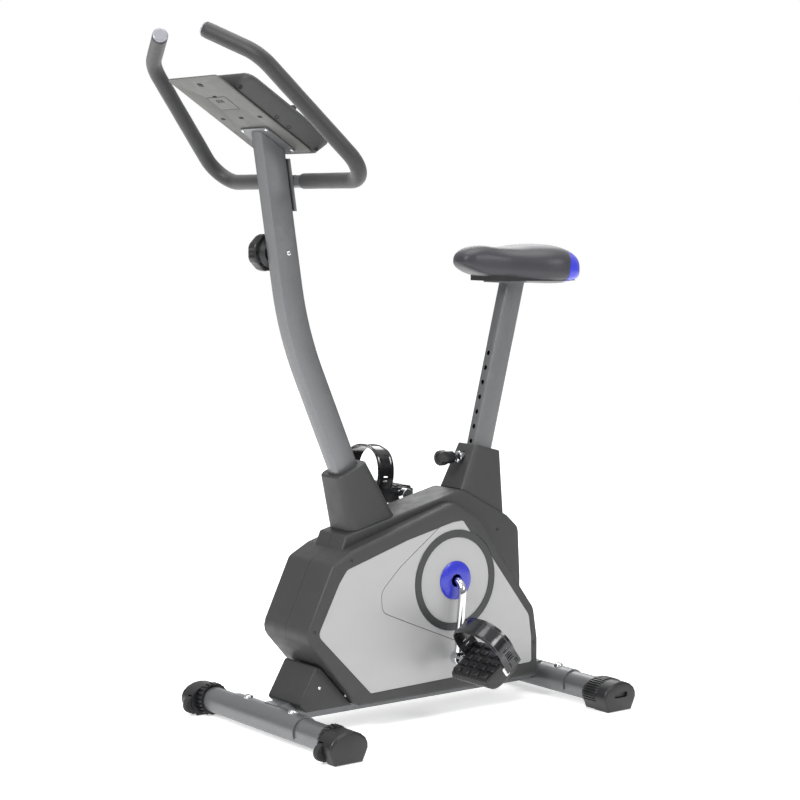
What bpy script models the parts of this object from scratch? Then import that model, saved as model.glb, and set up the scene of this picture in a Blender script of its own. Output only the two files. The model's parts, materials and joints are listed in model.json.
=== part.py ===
"""Upright magnetic exercise bike, modelled as separate pieces on one frame.

Metres, +Z up.  -Y is the handlebar end, +Y the saddle end, +X the rider's left.
The origin is on the floor under the middle of the bounding box.
Shapes in the side plane are given as (y, z) outlines and are extruded along X.
"""

import math

import bmesh
import bpy
import numpy as np
from mathutils import Matrix, Vector

# ---------------------------------------------------------------- driving dimensions
FIT_GAP = 0.0004            # clearance between pieces that touch
WALL = 0.0025               # plastic shell thickness
TUBE_WALL = 0.0019          # steel tube wall

LAYOUT_SHIFT_Y = 0.0315      # moves the finished layout so its box is centred in Y

# stabilizers, caps and transport wheels
FRONT_STAB_Y = -0.286
REAR_STAB_Y = 0.374
STAB_Z = 0.031
STAB_RADIUS = 0.025
STAB_HALF = 0.208
CAP_HALF_WIDTH = 0.255
CAP_START = 0.196
CAP_BODY_START = 0.213
CAP_FLAT = 0.030
WHEEL_X = 0.222
WHEEL_WIDTH = 0.012
WHEEL_RADIUS = 0.0165
WHEEL_Y = FRONT_STAB_Y - 0.038
WHEEL_Z = 0.0215
WHEEL_PIN = 0.0040

# welded frame
BEAM_HALF = 0.020
BEAM_BOTTOM = 0.027
BEAM_TOP = 0.061
SADDLE_PLATE_HALF = 0.115
SADDLE_PLATE_RADIUS = 0.0284
BB_Y = 0.097
BB_Z = 0.266
BB_RADIUS = 0.023
BB_BORE = 0.0192
BB_HALF = 0.034

# front post: two straight runs with one large bend between them
POST_KNEE_Z = 0.758
POST_KNEE_Y = -0.2335
POST_LOW_SLOPE = -0.436     # dy/dz below the knee
POST_TOP_SLOPE = -0.155     # dy/dz above the knee
POST_TANGENT = 0.085
POST_TOP_Z = 1.1082
POST_BOTTOM_Z = 0.430
POST_HALF_X = 0.0190
POST_HALF_V = 0.0260
POST_CORNER = 0.0095
SOCKET_TOP_Z = 0.500

# seat tube, bushing and seat post
SEAT_SLOPE = 0.2523         # dy/dz
SEAT_REF_Y = 0.218
SEAT_REF_Z = 0.517
SEAT_POST_HALF_X = 0.0145
SEAT_POST_HALF_V = 0.0240
SEAT_POST_CORNER = 0.0070
SEAT_POST_BOTTOM_Z = 0.375
SEAT_POST_TOP_Z = 0.842
SEAT_TUBE_TOP_Z = 0.500
PIN_Z = 0.497
PIN_RADIUS = 0.0040
HOLE_PITCH = 0.030
HOLE_RADIUS = 0.0048
HOLES_BELOW = 3
HOLES_ABOVE = 7

# drive
CRANK_LENGTH = 0.148
CRANK_ANGLE = math.radians(5.0)     # pedal forward of straight down
CRANK_ROD = 0.0077
CRANK_ARM_X = 0.101
CRANK_BEND = 0.022
PEDAL_INNER_X = 0.1300
PEDAL_OUTER_X = 0.2400
PEDAL_HALF_LENGTH = 0.044
PEDAL_PITCH_LEFT = math.radians(37.0)     # front edge down at rest
PEDAL_PITCH_RIGHT = math.radians(-5.0)    # front edge slightly up
STRAP_WIDTH = 0.040
STRAP_OFFSET_LEFT = 0.022   # strap centre behind the pedal's axis
STRAP_OFFSET_RIGHT = -0.036
STRAP_RISE_LEFT = 0.083
STRAP_RISE_RIGHT = 0.091
SPINDLE_RADIUS = 0.0060
PULLEY_RADIUS = 0.083
PULLEY_X0 = 0.0375
PULLEY_X1 = 0.0495
SMALL_PULLEY_RADIUS = 0.0125
BELT_THICKNESS = 0.0025
FLY_Y = -0.120
FLY_Z = 0.190
FLY_RADIUS = 0.092
FORK_LEFT_X = 0.054
FORK_RIGHT_X = -0.034
FORK_PLATE = 0.004
FORK_FRONT_Y = -0.1345
FORK_REAR_Y = -0.0760
MAGNET_PIVOT_ANGLE = math.radians(66.0)
MAGNET_PIVOT_RADIUS = 0.112

# covers
COVER_HALF = 0.076
SPINE_HALF = 0.045
RECESS_FLOOR = 0.0740
PANEL_X0 = 0.0743
PANEL_X1 = 0.0757
RING_OUTER = 0.0995
RING_INNER = 0.0840
HUB_RADIUS = 0.038

# handlebar and console
BAR_RADIUS = 0.0125
GRIP_RADIUS = 0.0146
BAR_SIDES = 12
BAR_Y = -0.2334
BAR_Z = 1.037
CONTROL_Z = 0.905           # tension knob axis
CONSOLE_Y = -0.291
CONSOLE_Z = 1.115
CONSOLE_TILT = math.radians(32.5)

COLOURS = {
    "steel": ((0.17, 0.17, 0.175, 1.0), 0.45, 0.6),
    "cover": ((0.085, 0.085, 0.085, 1.0), 0.5, 0.0),
    "silver": ((0.62, 0.62, 0.62, 1.0), 0.35, 0.4),
    "ring": ((0.06, 0.06, 0.062, 1.0), 0.5, 0.0),
    "blue": ((0.03, 0.04, 0.45, 1.0), 0.35, 0.0),
    "black": ((0.02, 0.02, 0.02, 1.0), 0.4, 0.0),
    "chrome": ((0.8, 0.8, 0.8, 1.0), 0.1, 1.0),
    "foam": ((0.09, 0.09, 0.1, 1.0), 0.8, 0.0),
    "vinyl": ((0.06, 0.06, 0.068, 1.0), 0.5, 0.0),
    "iron": ((0.25, 0.25, 0.25, 1.0), 0.6, 0.9),
    "rubber": ((0.015, 0.015, 0.015, 1.0), 0.8, 0.0),
    "lightgrey": ((0.25, 0.25, 0.24, 1.0), 0.5, 0.0),
    "glass": ((0.05, 0.06, 0.05, 1.0), 0.1, 0.0),
}


# ---------------------------------------------------------------- helpers
def clear_scene():
    """Remove every object so the part builds the same way each time."""
    for old in list(bpy.data.objects):
        bpy.data.objects.remove(old, do_unlink=True)


def make_material(name, key):
    """A Principled material of the piece's own, in a shared base colour."""
    colour, rough, metal = COLOURS[key]
    material = bpy.data.materials.new(name + "_finish")
    material.use_nodes = True
    shader = material.node_tree.nodes["Principled BSDF"]
    shader.inputs["Base Color"].default_value = colour
    shader.inputs["Roughness"].default_value = rough
    shader.inputs["Metallic"].default_value = metal
    material.diffuse_color = colour
    return material


def make_object(name, verts, faces, key, origin=(0.0, 0.0, 0.0)):
    """Object from vertices and faces, normals outward, origin where asked."""
    mesh = bpy.data.meshes.new(name)
    base = Vector(origin)
    mesh.from_pydata([tuple(Vector(v) - base) for v in verts], [], faces)
    work = bmesh.new()
    work.from_mesh(mesh)
    bmesh.ops.remove_doubles(work, verts=work.verts, dist=1e-7)
    bmesh.ops.recalc_face_normals(work, faces=work.faces)
    work.to_mesh(mesh)
    work.free()
    body = bpy.data.objects.new(name, mesh)
    body.location = base
    bpy.context.scene.collection.objects.link(body)
    body.data.materials.append(make_material(name, key))
    return body


def apply_boolean(target, tool, operation):
    """Boolean the tool into the target and remove the tool."""
    bpy.context.view_layer.update()
    step = target.modifiers.new("step", "BOOLEAN")
    step.operation = operation
    step.object = tool
    step.solver = "EXACT"
    depsgraph = bpy.context.evaluated_depsgraph_get()
    result = bpy.data.meshes.new_from_object(target.evaluated_get(depsgraph))
    target.modifiers.remove(step)
    target.data = result
    bpy.data.objects.remove(tool, do_unlink=True)
    work = bmesh.new()
    work.from_mesh(result)
    bmesh.ops.remove_doubles(work, verts=work.verts, dist=2e-6)
    bmesh.ops.dissolve_degenerate(work, edges=work.edges, dist=1e-6)
    work.to_mesh(result)
    work.free()
    return target


def cut(target, tool):
    """Take the tool's volume out of the target."""
    return apply_boolean(target, tool, "DIFFERENCE")


def weld(target, tool):
    """Join the tool's volume to the target."""
    return apply_boolean(target, tool, "UNION")


def loft(name, rings, key, origin=(0.0, 0.0, 0.0)):
    """Solid through rings of equal length, with flat end faces."""
    count = len(rings[0])
    verts = [point for ring in rings for point in ring]
    faces = []
    for level in range(len(rings) - 1):
        for i in range(count):
            j = (i + 1) % count
            a = level * count
            faces.append((a + i, a + j, a + count + j, a + count + i))
    faces.append(tuple(range(count)))
    last = (len(rings) - 1) * count
    faces.append(tuple(last + i for i in range(count)))
    return make_object(name, verts, faces, key, origin)


def shell_loft(name, outer, inner, key, origin=(0.0, 0.0, 0.0)):
    """Open-ended tube wall between an outer and an inner stack of rings."""
    count = len(outer[0])
    verts = [point for ring in outer for point in ring]
    start = len(verts)
    verts += [point for ring in inner for point in ring]
    faces = []
    for base, stack in ((0, outer), (start, inner)):
        for level in range(len(stack) - 1):
            for i in range(count):
                j = (i + 1) % count
                a = base + level * count
                faces.append((a + i, a + j, a + count + j, a + count + i))
    ends = ((0, start), ((len(outer) - 1) * count, start + (len(inner) - 1) * count))
    for outside, inside in ends:
        for i in range(count):
            j = (i + 1) % count
            faces.append((outside + i, outside + j, inside + j, inside + i))
    return make_object(name, verts, faces, key, origin)


def revolve(name, profile, centre, key, segments=32, axis="X", closed=False):
    """Turn an (axial, radius) profile about an axis through the centre."""
    angles = [2.0 * math.pi * i / segments for i in range(segments)]
    verts = []
    rows = []
    for along, radius in profile:
        if radius < 1e-9:
            rows.append([len(verts)] * segments)
            verts.append(axis_point(centre, axis, along, 0.0, 0.0))
            continue
        row = []
        for angle in angles:
            row.append(len(verts))
            offset = (radius * math.cos(angle), radius * math.sin(angle))
            verts.append(axis_point(centre, axis, along, *offset))
        rows.append(row)
    faces = []
    pairs = list(zip(rows[:-1], rows[1:]))
    if closed:
        pairs.append((rows[-1], rows[0]))
    for low, high in pairs:
        for i in range(segments):
            j = (i + 1) % segments
            corner = [low[i], low[j], high[j], high[i]]
            unique = list(dict.fromkeys(corner))
            if len(unique) > 2:
                faces.append(tuple(unique))
    return make_object(name, verts, faces, key, centre)


def axis_point(centre, axis, along, first, second):
    """Point at a distance along an axis and two offsets across it."""
    x, y, z = centre
    if axis == "X":
        return (x + along, y + first, z + second)
    if axis == "Y":
        return (x + second, y + along, z + first)
    return (x + first, y + second, z + along)


def cylinder(name, centre, radius, start, end, axis="X", segments=24, key="steel"):
    """Plain rod from start to end along an axis, measured from the centre."""
    profile = [(start, 0.0), (start, radius), (end, radius), (end, 0.0)]
    return revolve(name, profile, centre, key, segments, axis)


def washer(name, centre, inner, outer, start, end, key, axis="X", segments=20):
    """Ring with a square section."""
    profile = [(start, inner), (start, outer), (end, outer), (end, inner)]
    return revolve(name, profile, centre, key, segments, axis, closed=True)


def box(name, low, high, key="steel"):
    """Axis-aligned box from its low to its high corner."""
    rings = []
    for x in (low[0], high[0]):
        rings.append([(x, low[1], low[2]), (x, high[1], low[2]),
                      (x, high[1], high[2]), (x, low[1], high[2])])
    return loft(name, rings, key)


def round_corners(points, steps=4):
    """Outline with each corner (a, b, radius) replaced by an arc."""
    outline = []
    count = len(points)
    for i in range(count):
        here = np.array(points[i][:2], float)
        radius = points[i][2] if len(points[i]) > 2 else 0.0
        if radius <= 0.0:
            outline.append(tuple(here))
            continue
        before = np.array(points[i - 1][:2], float) - here
        after = np.array(points[(i + 1) % count][:2], float) - here
        before /= np.linalg.norm(before)
        after /= np.linalg.norm(after)
        half = 0.5 * math.acos(max(-1.0, min(1.0, float(before @ after))))
        reach = radius / math.tan(half)
        middle = before + after
        middle /= np.linalg.norm(middle)
        centre = here + middle * radius / math.sin(half)
        start = here + before * reach - centre
        end = here + after * reach - centre
        sweep = math.atan2(start[0] * end[1] - start[1] * end[0], float(start @ end))
        for k in range(steps + 1):
            angle = sweep * k / steps
            cos, sin = math.cos(angle), math.sin(angle)
            turned = (start[0] * cos - start[1] * sin, start[0] * sin + start[1] * cos)
            outline.append((centre[0] + turned[0], centre[1] + turned[1]))
    return outline


def inset(outline, distance):
    """Anticlockwise outline moved inward by a distance, corner by corner."""
    count = len(outline)
    moved = []
    for i in range(count):
        here = np.array(outline[i])
        before = here - np.array(outline[i - 1])
        after = np.array(outline[(i + 1) % count]) - here
        before /= np.linalg.norm(before)
        after /= np.linalg.norm(after)
        normal_a = np.array((-before[1], before[0]))
        normal_b = np.array((-after[1], after[0]))
        middle = normal_a + normal_b
        middle /= np.linalg.norm(middle)
        moved.append(tuple(here + middle * distance / float(middle @ normal_a)))
    return moved


def prism(name, outline, x0, x1, key, edge=0.0, origin=(0.0, 0.0, 0.0)):
    """Side-plane outline extruded from x0 to x1, its x1 edge rounded by edge."""
    levels = [(x0, 0.0)]
    if edge > 0.0:
        sign = 1.0 if x1 > x0 else -1.0
        for k in range(4):
            angle = math.pi / 6.0 * k
            levels.append((x1 - sign * edge * (1.0 - math.sin(angle)),
                           edge * (1.0 - math.cos(angle))))
    else:
        levels.append((x1, 0.0))
    rings = []
    for x, distance in levels:
        shape = inset(outline, distance) if distance > 0.0 else outline
        rings.append([(x, y, z) for y, z in shape])
    return loft(name, rings, key, origin)


def rounded_section(half_a, half_b, radius, steps=2):
    """Rounded rectangle section, anticlockwise in its own (a, b) plane."""
    corners = [(-half_a, -half_b, radius), (half_a, -half_b, radius),
               (half_a, half_b, radius), (-half_a, half_b, radius)]
    return round_corners(corners, steps)


def circle_section(radius, segments=16):
    """Round section."""
    return [(radius * math.cos(2.0 * math.pi * i / segments),
             radius * math.sin(2.0 * math.pi * i / segments)) for i in range(segments)]


def bend_path(corners, steps=7):
    """Polyline through 3-D corners (x, y, z, radius) with rounded bends."""
    path = [Vector(corners[0][:3])]
    for before, here, after in zip(corners[:-2], corners[1:-1], corners[2:]):
        at = Vector(here[:3])
        back = (Vector(before[:3]) - at).normalized()
        ahead = (Vector(after[:3]) - at).normalized()
        half = 0.5 * back.angle(ahead)
        radius = here[3]
        reach = radius / math.tan(half)
        middle = (back + ahead).normalized()
        centre = at + middle * radius / math.sin(half)
        start = at + back * reach - centre
        end = at + ahead * reach - centre
        spin = start.cross(end).normalized()
        total = start.angle(end)
        for k in range(steps + 1):
            path.append(centre + Matrix.Rotation(total * k / steps, 3, spin) @ start)
    path.append(Vector(corners[-1][:3]))
    return path


def sweep_rings(path, section):
    """Rings of a section carried along a path without twist."""
    rings = []
    tangents = []
    for i in range(len(path)):
        low = path[max(i - 1, 0)]
        high = path[min(i + 1, len(path) - 1)]
        tangents.append((high - low).normalized())
    side = Vector((0.0, 0.0, 1.0)).cross(tangents[0])
    if side.length < 0.1:
        side = Vector((1.0, 0.0, 0.0))
    side.normalize()
    for i, tangent in enumerate(tangents):
        side = (side - tangent * side.dot(tangent)).normalized()
        up = tangent.cross(side)
        rings.append([tuple(path[i] + side * a + up * b) for a, b in section])
    return rings


def rod(name, path, radius, key, segments=10, origin=(0.0, 0.0, 0.0)):
    """Solid round rod along a path."""
    return loft(name, sweep_rings(path, circle_section(radius, segments)), key, origin)


def pipe(name, path, inner, outer, key, segments=16):
    """Round tube wall along a path, open at both ends."""
    return shell_loft(name, sweep_rings(path, circle_section(outer, segments)),
                      sweep_rings(path, circle_section(inner, segments)), key)


def arc_outline(cy, cz, inner, outer, start, end, steps=12):
    """Anticlockwise outline of a ring sector."""
    points = []
    for k in range(steps + 1):
        angle = start + (end - start) * k / steps
        points.append((cy + outer * math.cos(angle), cz + outer * math.sin(angle)))
    for k in range(steps, -1, -1):
        angle = start + (end - start) * k / steps
        points.append((cy + inner * math.cos(angle), cz + inner * math.sin(angle)))
    return points


def mirror_x(outline_object, name, key):
    """Mirrored copy of an object across the middle plane, normals kept outward."""
    source = outline_object.data
    place = outline_object.location
    verts = [(-(v.co.x + place.x), v.co.y + place.y, v.co.z + place.z)
             for v in source.vertices]
    faces = [tuple(reversed(face.vertices)) for face in source.polygons]
    return make_object(name, verts, faces, key, (-place.x, place.y, place.z))


# ---------------------------------------------------------------- shared lines
def low_axis_y(z):
    """Centre line of the lower, straight run of the front post and its socket."""
    return POST_KNEE_Y + POST_LOW_SLOPE * (z - POST_KNEE_Z)


def top_axis_y(z):
    """Centre line of the upper, straight run of the front post."""
    return POST_KNEE_Y + POST_TOP_SLOPE * (z - POST_KNEE_Z)


def seat_axis_y(z):
    """Centre line of the seat tube and the seat post."""
    return SEAT_REF_Y + SEAT_SLOPE * (z - SEAT_REF_Z)


def slanted_ring(section, axis_y, slope, z_at_axis, plane_slope):
    """Section ring of a leaning tube, ended on the plane dz/dy = plane_slope."""
    scale = math.sqrt(1.0 + slope * slope)
    along = (slope / scale, 1.0 / scale)
    across = (1.0 / scale, -slope / scale)
    ring = []
    for a, v in section:
        y = axis_y + across[0] * v
        z = z_at_axis + across[1] * v
        wanted = z_at_axis + plane_slope * (y - axis_y)
        t = (wanted - z) / (along[1] - plane_slope * along[0])
        ring.append((a, y + along[0] * t, z + along[1] * t))
    return ring


def side_outline():
    """Outline of the wide side halves of the covers."""
    return round_corners([
        (-0.149, 0.3475, 0.020), (-0.194, 0.3240, 0.020), (-0.2580, 0.190, 0.030),
        (-0.133, 0.0480, 0.008), (0.3130, 0.0480, 0.010), (0.3125, 0.125, 0.030),
        (0.3020, 0.188, 0.030), (0.2110, 0.309, 0.060), (0.1620, 0.382, 0.030),
        (0.0980, 0.4185, 0.030)], 3)


def spine_outline():
    """Outline of the narrower, raised middle of the covers."""
    return round_corners([
        (-0.1420, 0.3720, 0.005), (-0.1560, 0.3400, 0.0), (-0.1000, 0.2000, 0.0),
        (0.2910, 0.1400, 0.0), (0.2910, 0.2500, 0.030), (0.2850, 0.3500, 0.020),
        (0.2550, 0.3770, 0.010), (0.1410, 0.4380, 0.020)], 2)


def spine_top_z(y):
    """Height of the sloping top of the spine at y."""
    return 0.3720 + (0.4380 - 0.3720) * (y + 0.1420) / (0.1410 + 0.1420)


def ring_arc(radius, start, end, steps=6):
    """Points on a circle about the crank axis between two angles in degrees."""
    points = []
    for k in range(steps + 1):
        angle = math.radians(start + (end - start) * k / steps)
        points.append((BB_Y + radius * math.cos(angle), BB_Z + radius * math.sin(angle)))
    return points


SEAM_TOP = (0.0574, 0.3736)
SEAM_BOTTOM = (0.2640, 0.0773)
SEAM_CORNERS = [(-0.038, 0.305, 0.040), (-0.083, 0.262, 0.022), (-0.080, 0.222, 0.018),
                (-0.014, 0.1935, 0.060)]
PANEL_FRONT = [(-0.020, 0.3560), (-0.163, 0.3130, 0.012), (-0.181, 0.2890, 0.030),
               (-0.2300, 0.1950, 0.016), (-0.1070, 0.0690, 0.006)]
PANEL_REAR = [(0.2960, 0.0780, 0.006), (0.2950, 0.1300, 0.030), (0.2880, 0.1760, 0.025),
              (0.1935, 0.2990)]
PANEL_TOP = [(0.1340, 0.3600), (0.1160, 0.3830, 0.010), (0.0900, 0.3810, 0.015)]


def panel_outline():
    """Silver area on the cover side, its rear edge following the trim ring."""
    arc = ring_arc(RING_OUTER + 0.0008, 24.0, 68.0)
    return round_corners(PANEL_FRONT + PANEL_REAR + arc + PANEL_TOP, 3)


def front_panel_outline():
    """Silver area in front of the V-shaped seam."""
    seam = [SEAM_BOTTOM] + list(reversed(SEAM_CORNERS)) + [SEAM_TOP]
    return round_corners(PANEL_FRONT + seam, 3)


def crank_panel_outline():
    """Silver area behind the V-shaped seam, round the crank."""
    arc = ring_arc(RING_OUTER + 0.0008, 24.0, 68.0)
    seam = [SEAM_TOP] + SEAM_CORNERS + [SEAM_BOTTOM]
    return round_corners(seam + PANEL_REAR + arc + PANEL_TOP, 3)


# ---------------------------------------------------------------- welded frame
def build_main_frame():
    """Base beam, saddle plates, post socket, seat tube, crank shell and fork."""
    outer = [(-BEAM_HALF, BEAM_BOTTOM), (BEAM_HALF, BEAM_BOTTOM),
             (BEAM_HALF, BEAM_TOP), (-BEAM_HALF, BEAM_TOP)]
    thin = TUBE_WALL
    inner = [(-BEAM_HALF + thin, BEAM_BOTTOM + thin), (BEAM_HALF - thin, BEAM_BOTTOM + thin),
             (BEAM_HALF - thin, BEAM_TOP - thin), (-BEAM_HALF + thin, BEAM_TOP - thin)]
    ends = (FRONT_STAB_Y, REAR_STAB_Y)
    frame = shell_loft("main_frame", [[(x, y, z) for x, z in outer] for y in ends],
                       [[(x, y, z) for x, z in inner] for y in ends], "steel")
    for y in ends:
        sector = arc_outline(y, STAB_Z, STAB_RADIUS - 0.001, SADDLE_PLATE_RADIUS,
                             math.radians(-22.0), math.radians(202.0), 14)
        weld(frame, prism("saddle", sector, -SADDLE_PLATE_HALF, SADDLE_PLATE_HALF, "steel"))
    for y in ends:
        cut(frame, cylinder("bore", (0.0, y, STAB_Z), STAB_RADIUS + FIT_GAP,
                            -0.14, 0.14, segments=32))
        inward = 1.0 if y < 0.0 else -1.0
        near, far = sorted((y, y + inward * 0.040))
        cut(frame, box("end_window", (-0.010, near, 0.036), (0.010, far, 0.048)))
    weld(frame, build_socket_tube())
    weld(frame, build_seat_tube())
    weld(frame, box("foot_block", (-0.0160, 0.066, BEAM_TOP - 0.0006), (0.0160, 0.104, 0.0910)))
    low, high = BB_Z - 0.016, BB_Z + 0.016
    reach = (SEAT_POST_HALF_V + 0.0035) * math.sqrt(1.0 + SEAT_SLOPE ** 2)
    block = [(-0.001, low), (seat_axis_y(low) - reach, low),
             (seat_axis_y(high) - reach, high), (-0.001, high)]
    weld(frame, prism("bridge", block, -0.012, 0.012, "steel"))
    weld(frame, cylinder("shell", (0.0, BB_Y, BB_Z), BB_RADIUS, -BB_HALF, BB_HALF))
    cut(frame, cylinder("bb_bore", (0.0, BB_Y, BB_Z), BB_BORE, -0.05, 0.05))
    weld(frame, build_magnet_lug())
    weld(frame, box("fork_base", (FORK_RIGHT_X, FORK_FRONT_Y, BEAM_TOP - 0.0008),
                    (FORK_LEFT_X + FORK_PLATE, FORK_REAR_Y, BEAM_TOP + 0.0032)))
    for x in (FORK_RIGHT_X, FORK_LEFT_X):
        plate = round_corners([(FORK_FRONT_Y, BEAM_TOP + 0.001), (FORK_REAR_Y, BEAM_TOP + 0.001),
                               (FLY_Y + 0.020, FLY_Z + 0.022, 0.010),
                               (FLY_Y - 0.020, FLY_Z + 0.022, 0.010)], 3)
        weld(frame, prism("upright", plate, x, x + FORK_PLATE, "steel"))
        cut(frame, cylinder("seat", (0.0, FLY_Y, FLY_Z), 0.0139, x - 0.002, x + 0.006))
    return frame


def build_socket_tube():
    """Oval tube the front post slides over, with its two cable holes."""
    half_x = POST_HALF_X - TUBE_WALL - FIT_GAP
    half_v = POST_HALF_V - TUBE_WALL - FIT_GAP
    outer = rounded_section(half_x, half_v, POST_CORNER - TUBE_WALL)
    inner = rounded_section(half_x - TUBE_WALL, half_v - TUBE_WALL, POST_CORNER - 2 * TUBE_WALL)
    low = BEAM_TOP - 0.001
    stacks = []
    for section in (outer, inner):
        stacks.append([
            slanted_ring(section, low_axis_y(low), POST_LOW_SLOPE, low, 0.0),
            slanted_ring(section, low_axis_y(SOCKET_TOP_Z), POST_LOW_SLOPE, SOCKET_TOP_Z,
                         -POST_LOW_SLOPE)])
    tube = shell_loft("socket", stacks[0], stacks[1], "steel")
    wire_z = 0.366
    cut(tube, cylinder("wire_hole", (half_x, low_axis_y(wire_z), wire_z), 0.006, -0.008, 0.008))
    cable_z = 0.372
    cut(tube, cylinder("cable_hole", (-0.006, low_axis_y(cable_z) - 0.026, cable_z), 0.007,
                       -0.012, 0.012, "Y"))
    return tube


def build_seat_tube():
    """Tube that holds the bushing and the sliding seat post."""
    half_x = SEAT_POST_HALF_X + 0.0050
    half_v = SEAT_POST_HALF_V + 0.0045
    outer = rounded_section(half_x, half_v, 0.010)
    inner = rounded_section(half_x - 0.0020, half_v - 0.0020, 0.008)
    low = BEAM_TOP - 0.001
    stacks = []
    for section in (outer, inner):
        stacks.append([
            slanted_ring(section, seat_axis_y(low), SEAT_SLOPE, low, 0.0),
            slanted_ring(section, seat_axis_y(SEAT_TUBE_TOP_Z + 0.0), SEAT_SLOPE,
                         SEAT_TUBE_TOP_Z, -SEAT_SLOPE)])
    tube = shell_loft("seat_tube", stacks[0], stacks[1], "steel")
    front = seat_axis_y(PIN_Z) - 0.028
    cut(tube, cylinder("pin_seat", (0.0, front, PIN_Z), 0.0090, -0.010, 0.010, "Y"))
    return tube


def magnet_pivot():
    """Side-plane position of the magnet bracket's pivot."""
    return (FLY_Y + MAGNET_PIVOT_RADIUS * math.cos(MAGNET_PIVOT_ANGLE),
            FLY_Z + MAGNET_PIVOT_RADIUS * math.sin(MAGNET_PIVOT_ANGLE))


def build_magnet_lug():
    """Lug on the front of the socket tube, carrying the magnet bracket's pin."""
    y, z = magnet_pivot()
    back = low_axis_y(z) - 0.0245
    outline = round_corners([(y - 0.007, z - 0.007, 0.006), (back + 0.004, z - 0.014),
                             (back - 0.003, z + 0.010), (y - 0.007, z + 0.007, 0.006)], 4)
    lug = prism("lug", outline, -0.005, 0.005, "steel")
    weld(lug, cylinder("pin", (0.0, y, z), 0.0040, -0.0155, 0.0155, segments=20))
    return lug


# ---------------------------------------------------------------- feet
def cap_outline(centre_y):
    """D shape of an end cap: round over the top, flat on the floor."""
    points = [(centre_y - CAP_FLAT, 0.0), (centre_y + CAP_FLAT, 0.0)]
    for k in range(13):
        angle = math.radians(-28.0 + 236.0 * k / 12)
        points.append((centre_y + 0.0425 * math.cos(angle), 0.0290 + 0.0300 * math.sin(angle)))
    return points


def build_stabilizer(name, centre_y):
    """Round steel tube across the bike."""
    path = [Vector((-STAB_HALF, centre_y, STAB_Z)), Vector((STAB_HALF, centre_y, STAB_Z))]
    return pipe(name, path, STAB_RADIUS - TUBE_WALL, STAB_RADIUS, "steel", 32)


def build_cap(name, centre_y, with_wheel):
    """Left end cap: ribbed ring, D-shaped foot and a bore for the tube."""
    cap = prism(name, cap_outline(centre_y), CAP_BODY_START, CAP_HALF_WIDTH, "black",
                0.005, (CAP_BODY_START, centre_y, STAB_Z))
    ring = []
    for k in range(48):
        angle = 2.0 * math.pi * k / 48
        radius = 0.0300 if k % 3 else 0.0288
        ring.append((centre_y + radius * math.cos(angle), STAB_Z + radius * math.sin(angle)))
    weld(cap, prism("grip", ring, CAP_START, CAP_BODY_START + 0.003, "black"))
    cut(cap, cylinder("bore", (0.0, centre_y, STAB_Z), STAB_RADIUS + FIT_GAP,
                      CAP_START - 0.01, STAB_HALF + FIT_GAP, segments=32))
    if with_wheel:
        half = 0.5 * WHEEL_WIDTH + 0.0006
        cut(cap, box("slot", (WHEEL_X - half, WHEEL_Y - 0.030, -0.005),
                     (WHEEL_X + half, WHEEL_Y + WHEEL_RADIUS + 0.0015, 0.0405)))
        weld(cap, cylinder("axle", (0.0, WHEEL_Y, WHEEL_Z), WHEEL_PIN,
                           WHEEL_X - half - 0.002, WHEEL_X + half + 0.004, segments=20))
    return cap


def build_wheel():
    """Left transport wheel in the slot of the front cap."""
    half = 0.5 * WHEEL_WIDTH
    inner = WHEEL_PIN + FIT_GAP
    profile = [(-half, inner), (-half, WHEEL_RADIUS - 0.002), (-half + 0.002, WHEEL_RADIUS),
               (half - 0.002, WHEEL_RADIUS), (half, WHEEL_RADIUS - 0.002), (half, inner)]
    return revolve("transport_wheel_left", profile, (WHEEL_X, WHEEL_Y, WHEEL_Z), "rubber",
                   20, "X", closed=True)


def build_feet():
    """Stabilizers, four caps and two wheels."""
    build_stabilizer("front_stabilizer", FRONT_STAB_Y)
    build_stabilizer("rear_stabilizer", REAR_STAB_Y)
    front = build_cap("front_cap_left", FRONT_STAB_Y, True)
    mirror_x(front, "front_cap_right", "black")
    rear = build_cap("rear_cap_left", REAR_STAB_Y, False)
    mirror_x(rear, "rear_cap_right", "black")
    wheel = build_wheel()
    mirror_x(wheel, "transport_wheel_right", "rubber")


# ---------------------------------------------------------------- covers
def build_covers():
    """Left cover shell and its mirror image."""
    start = 0.0003
    cover = prism("cover_left", side_outline(), start, COVER_HALF, "cover", 0.006)
    weld(cover, prism("spine", spine_outline(), start, SPINE_HALF, "cover", 0.004))
    hollow = prism("hollow", inset(side_outline(), WALL), -0.01, COVER_HALF - 0.0045, "cover")
    weld(hollow, prism("hollow_spine", inset(spine_outline(), WALL), -0.01,
                       SPINE_HALF - WALL, "cover"))
    cut(cover, hollow)
    cut(cover, prism("recess", panel_outline(), RECESS_FLOOR, COVER_HALF + 0.01, "cover"))
    cut(cover, cylinder("ring_bed", (0.0, BB_Y, BB_Z), RING_OUTER + 0.0008, RECESS_FLOOR,
                        COVER_HALF + 0.01, segments=48))
    cut(cover, cylinder("crank_hole", (0.0, BB_Y, BB_Z), 0.022, 0.06, 0.09))
    cut(cover, box("beam_gap", (-0.01, -0.40, 0.0), (BEAM_HALF + 0.0004, 0.45,
                                                     BEAM_TOP + 0.0004)))
    cut(cover, leaning_block("post_gap", 0.0195, 0.0270, low_axis_y, POST_LOW_SLOPE,
                             0.33, 0.46))
    cut(cover, leaning_block("seat_gap", 0.0205, 0.0300, seat_axis_y, SEAT_SLOPE,
                             0.35, 0.48))
    mirror_x(cover, "cover_right", "cover")


def leaning_block(name, half_x, half_v, axis, slope, z0, z1):
    """Rectangular bar along a leaning axis."""
    section = [(-half_x, -half_v), (half_x, -half_v), (half_x, half_v), (-half_x, half_v)]
    rings = [slanted_ring(section, axis(z), slope, z, -slope) for z in (z0, z1)]
    return loft(name, rings, "cover")


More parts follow.
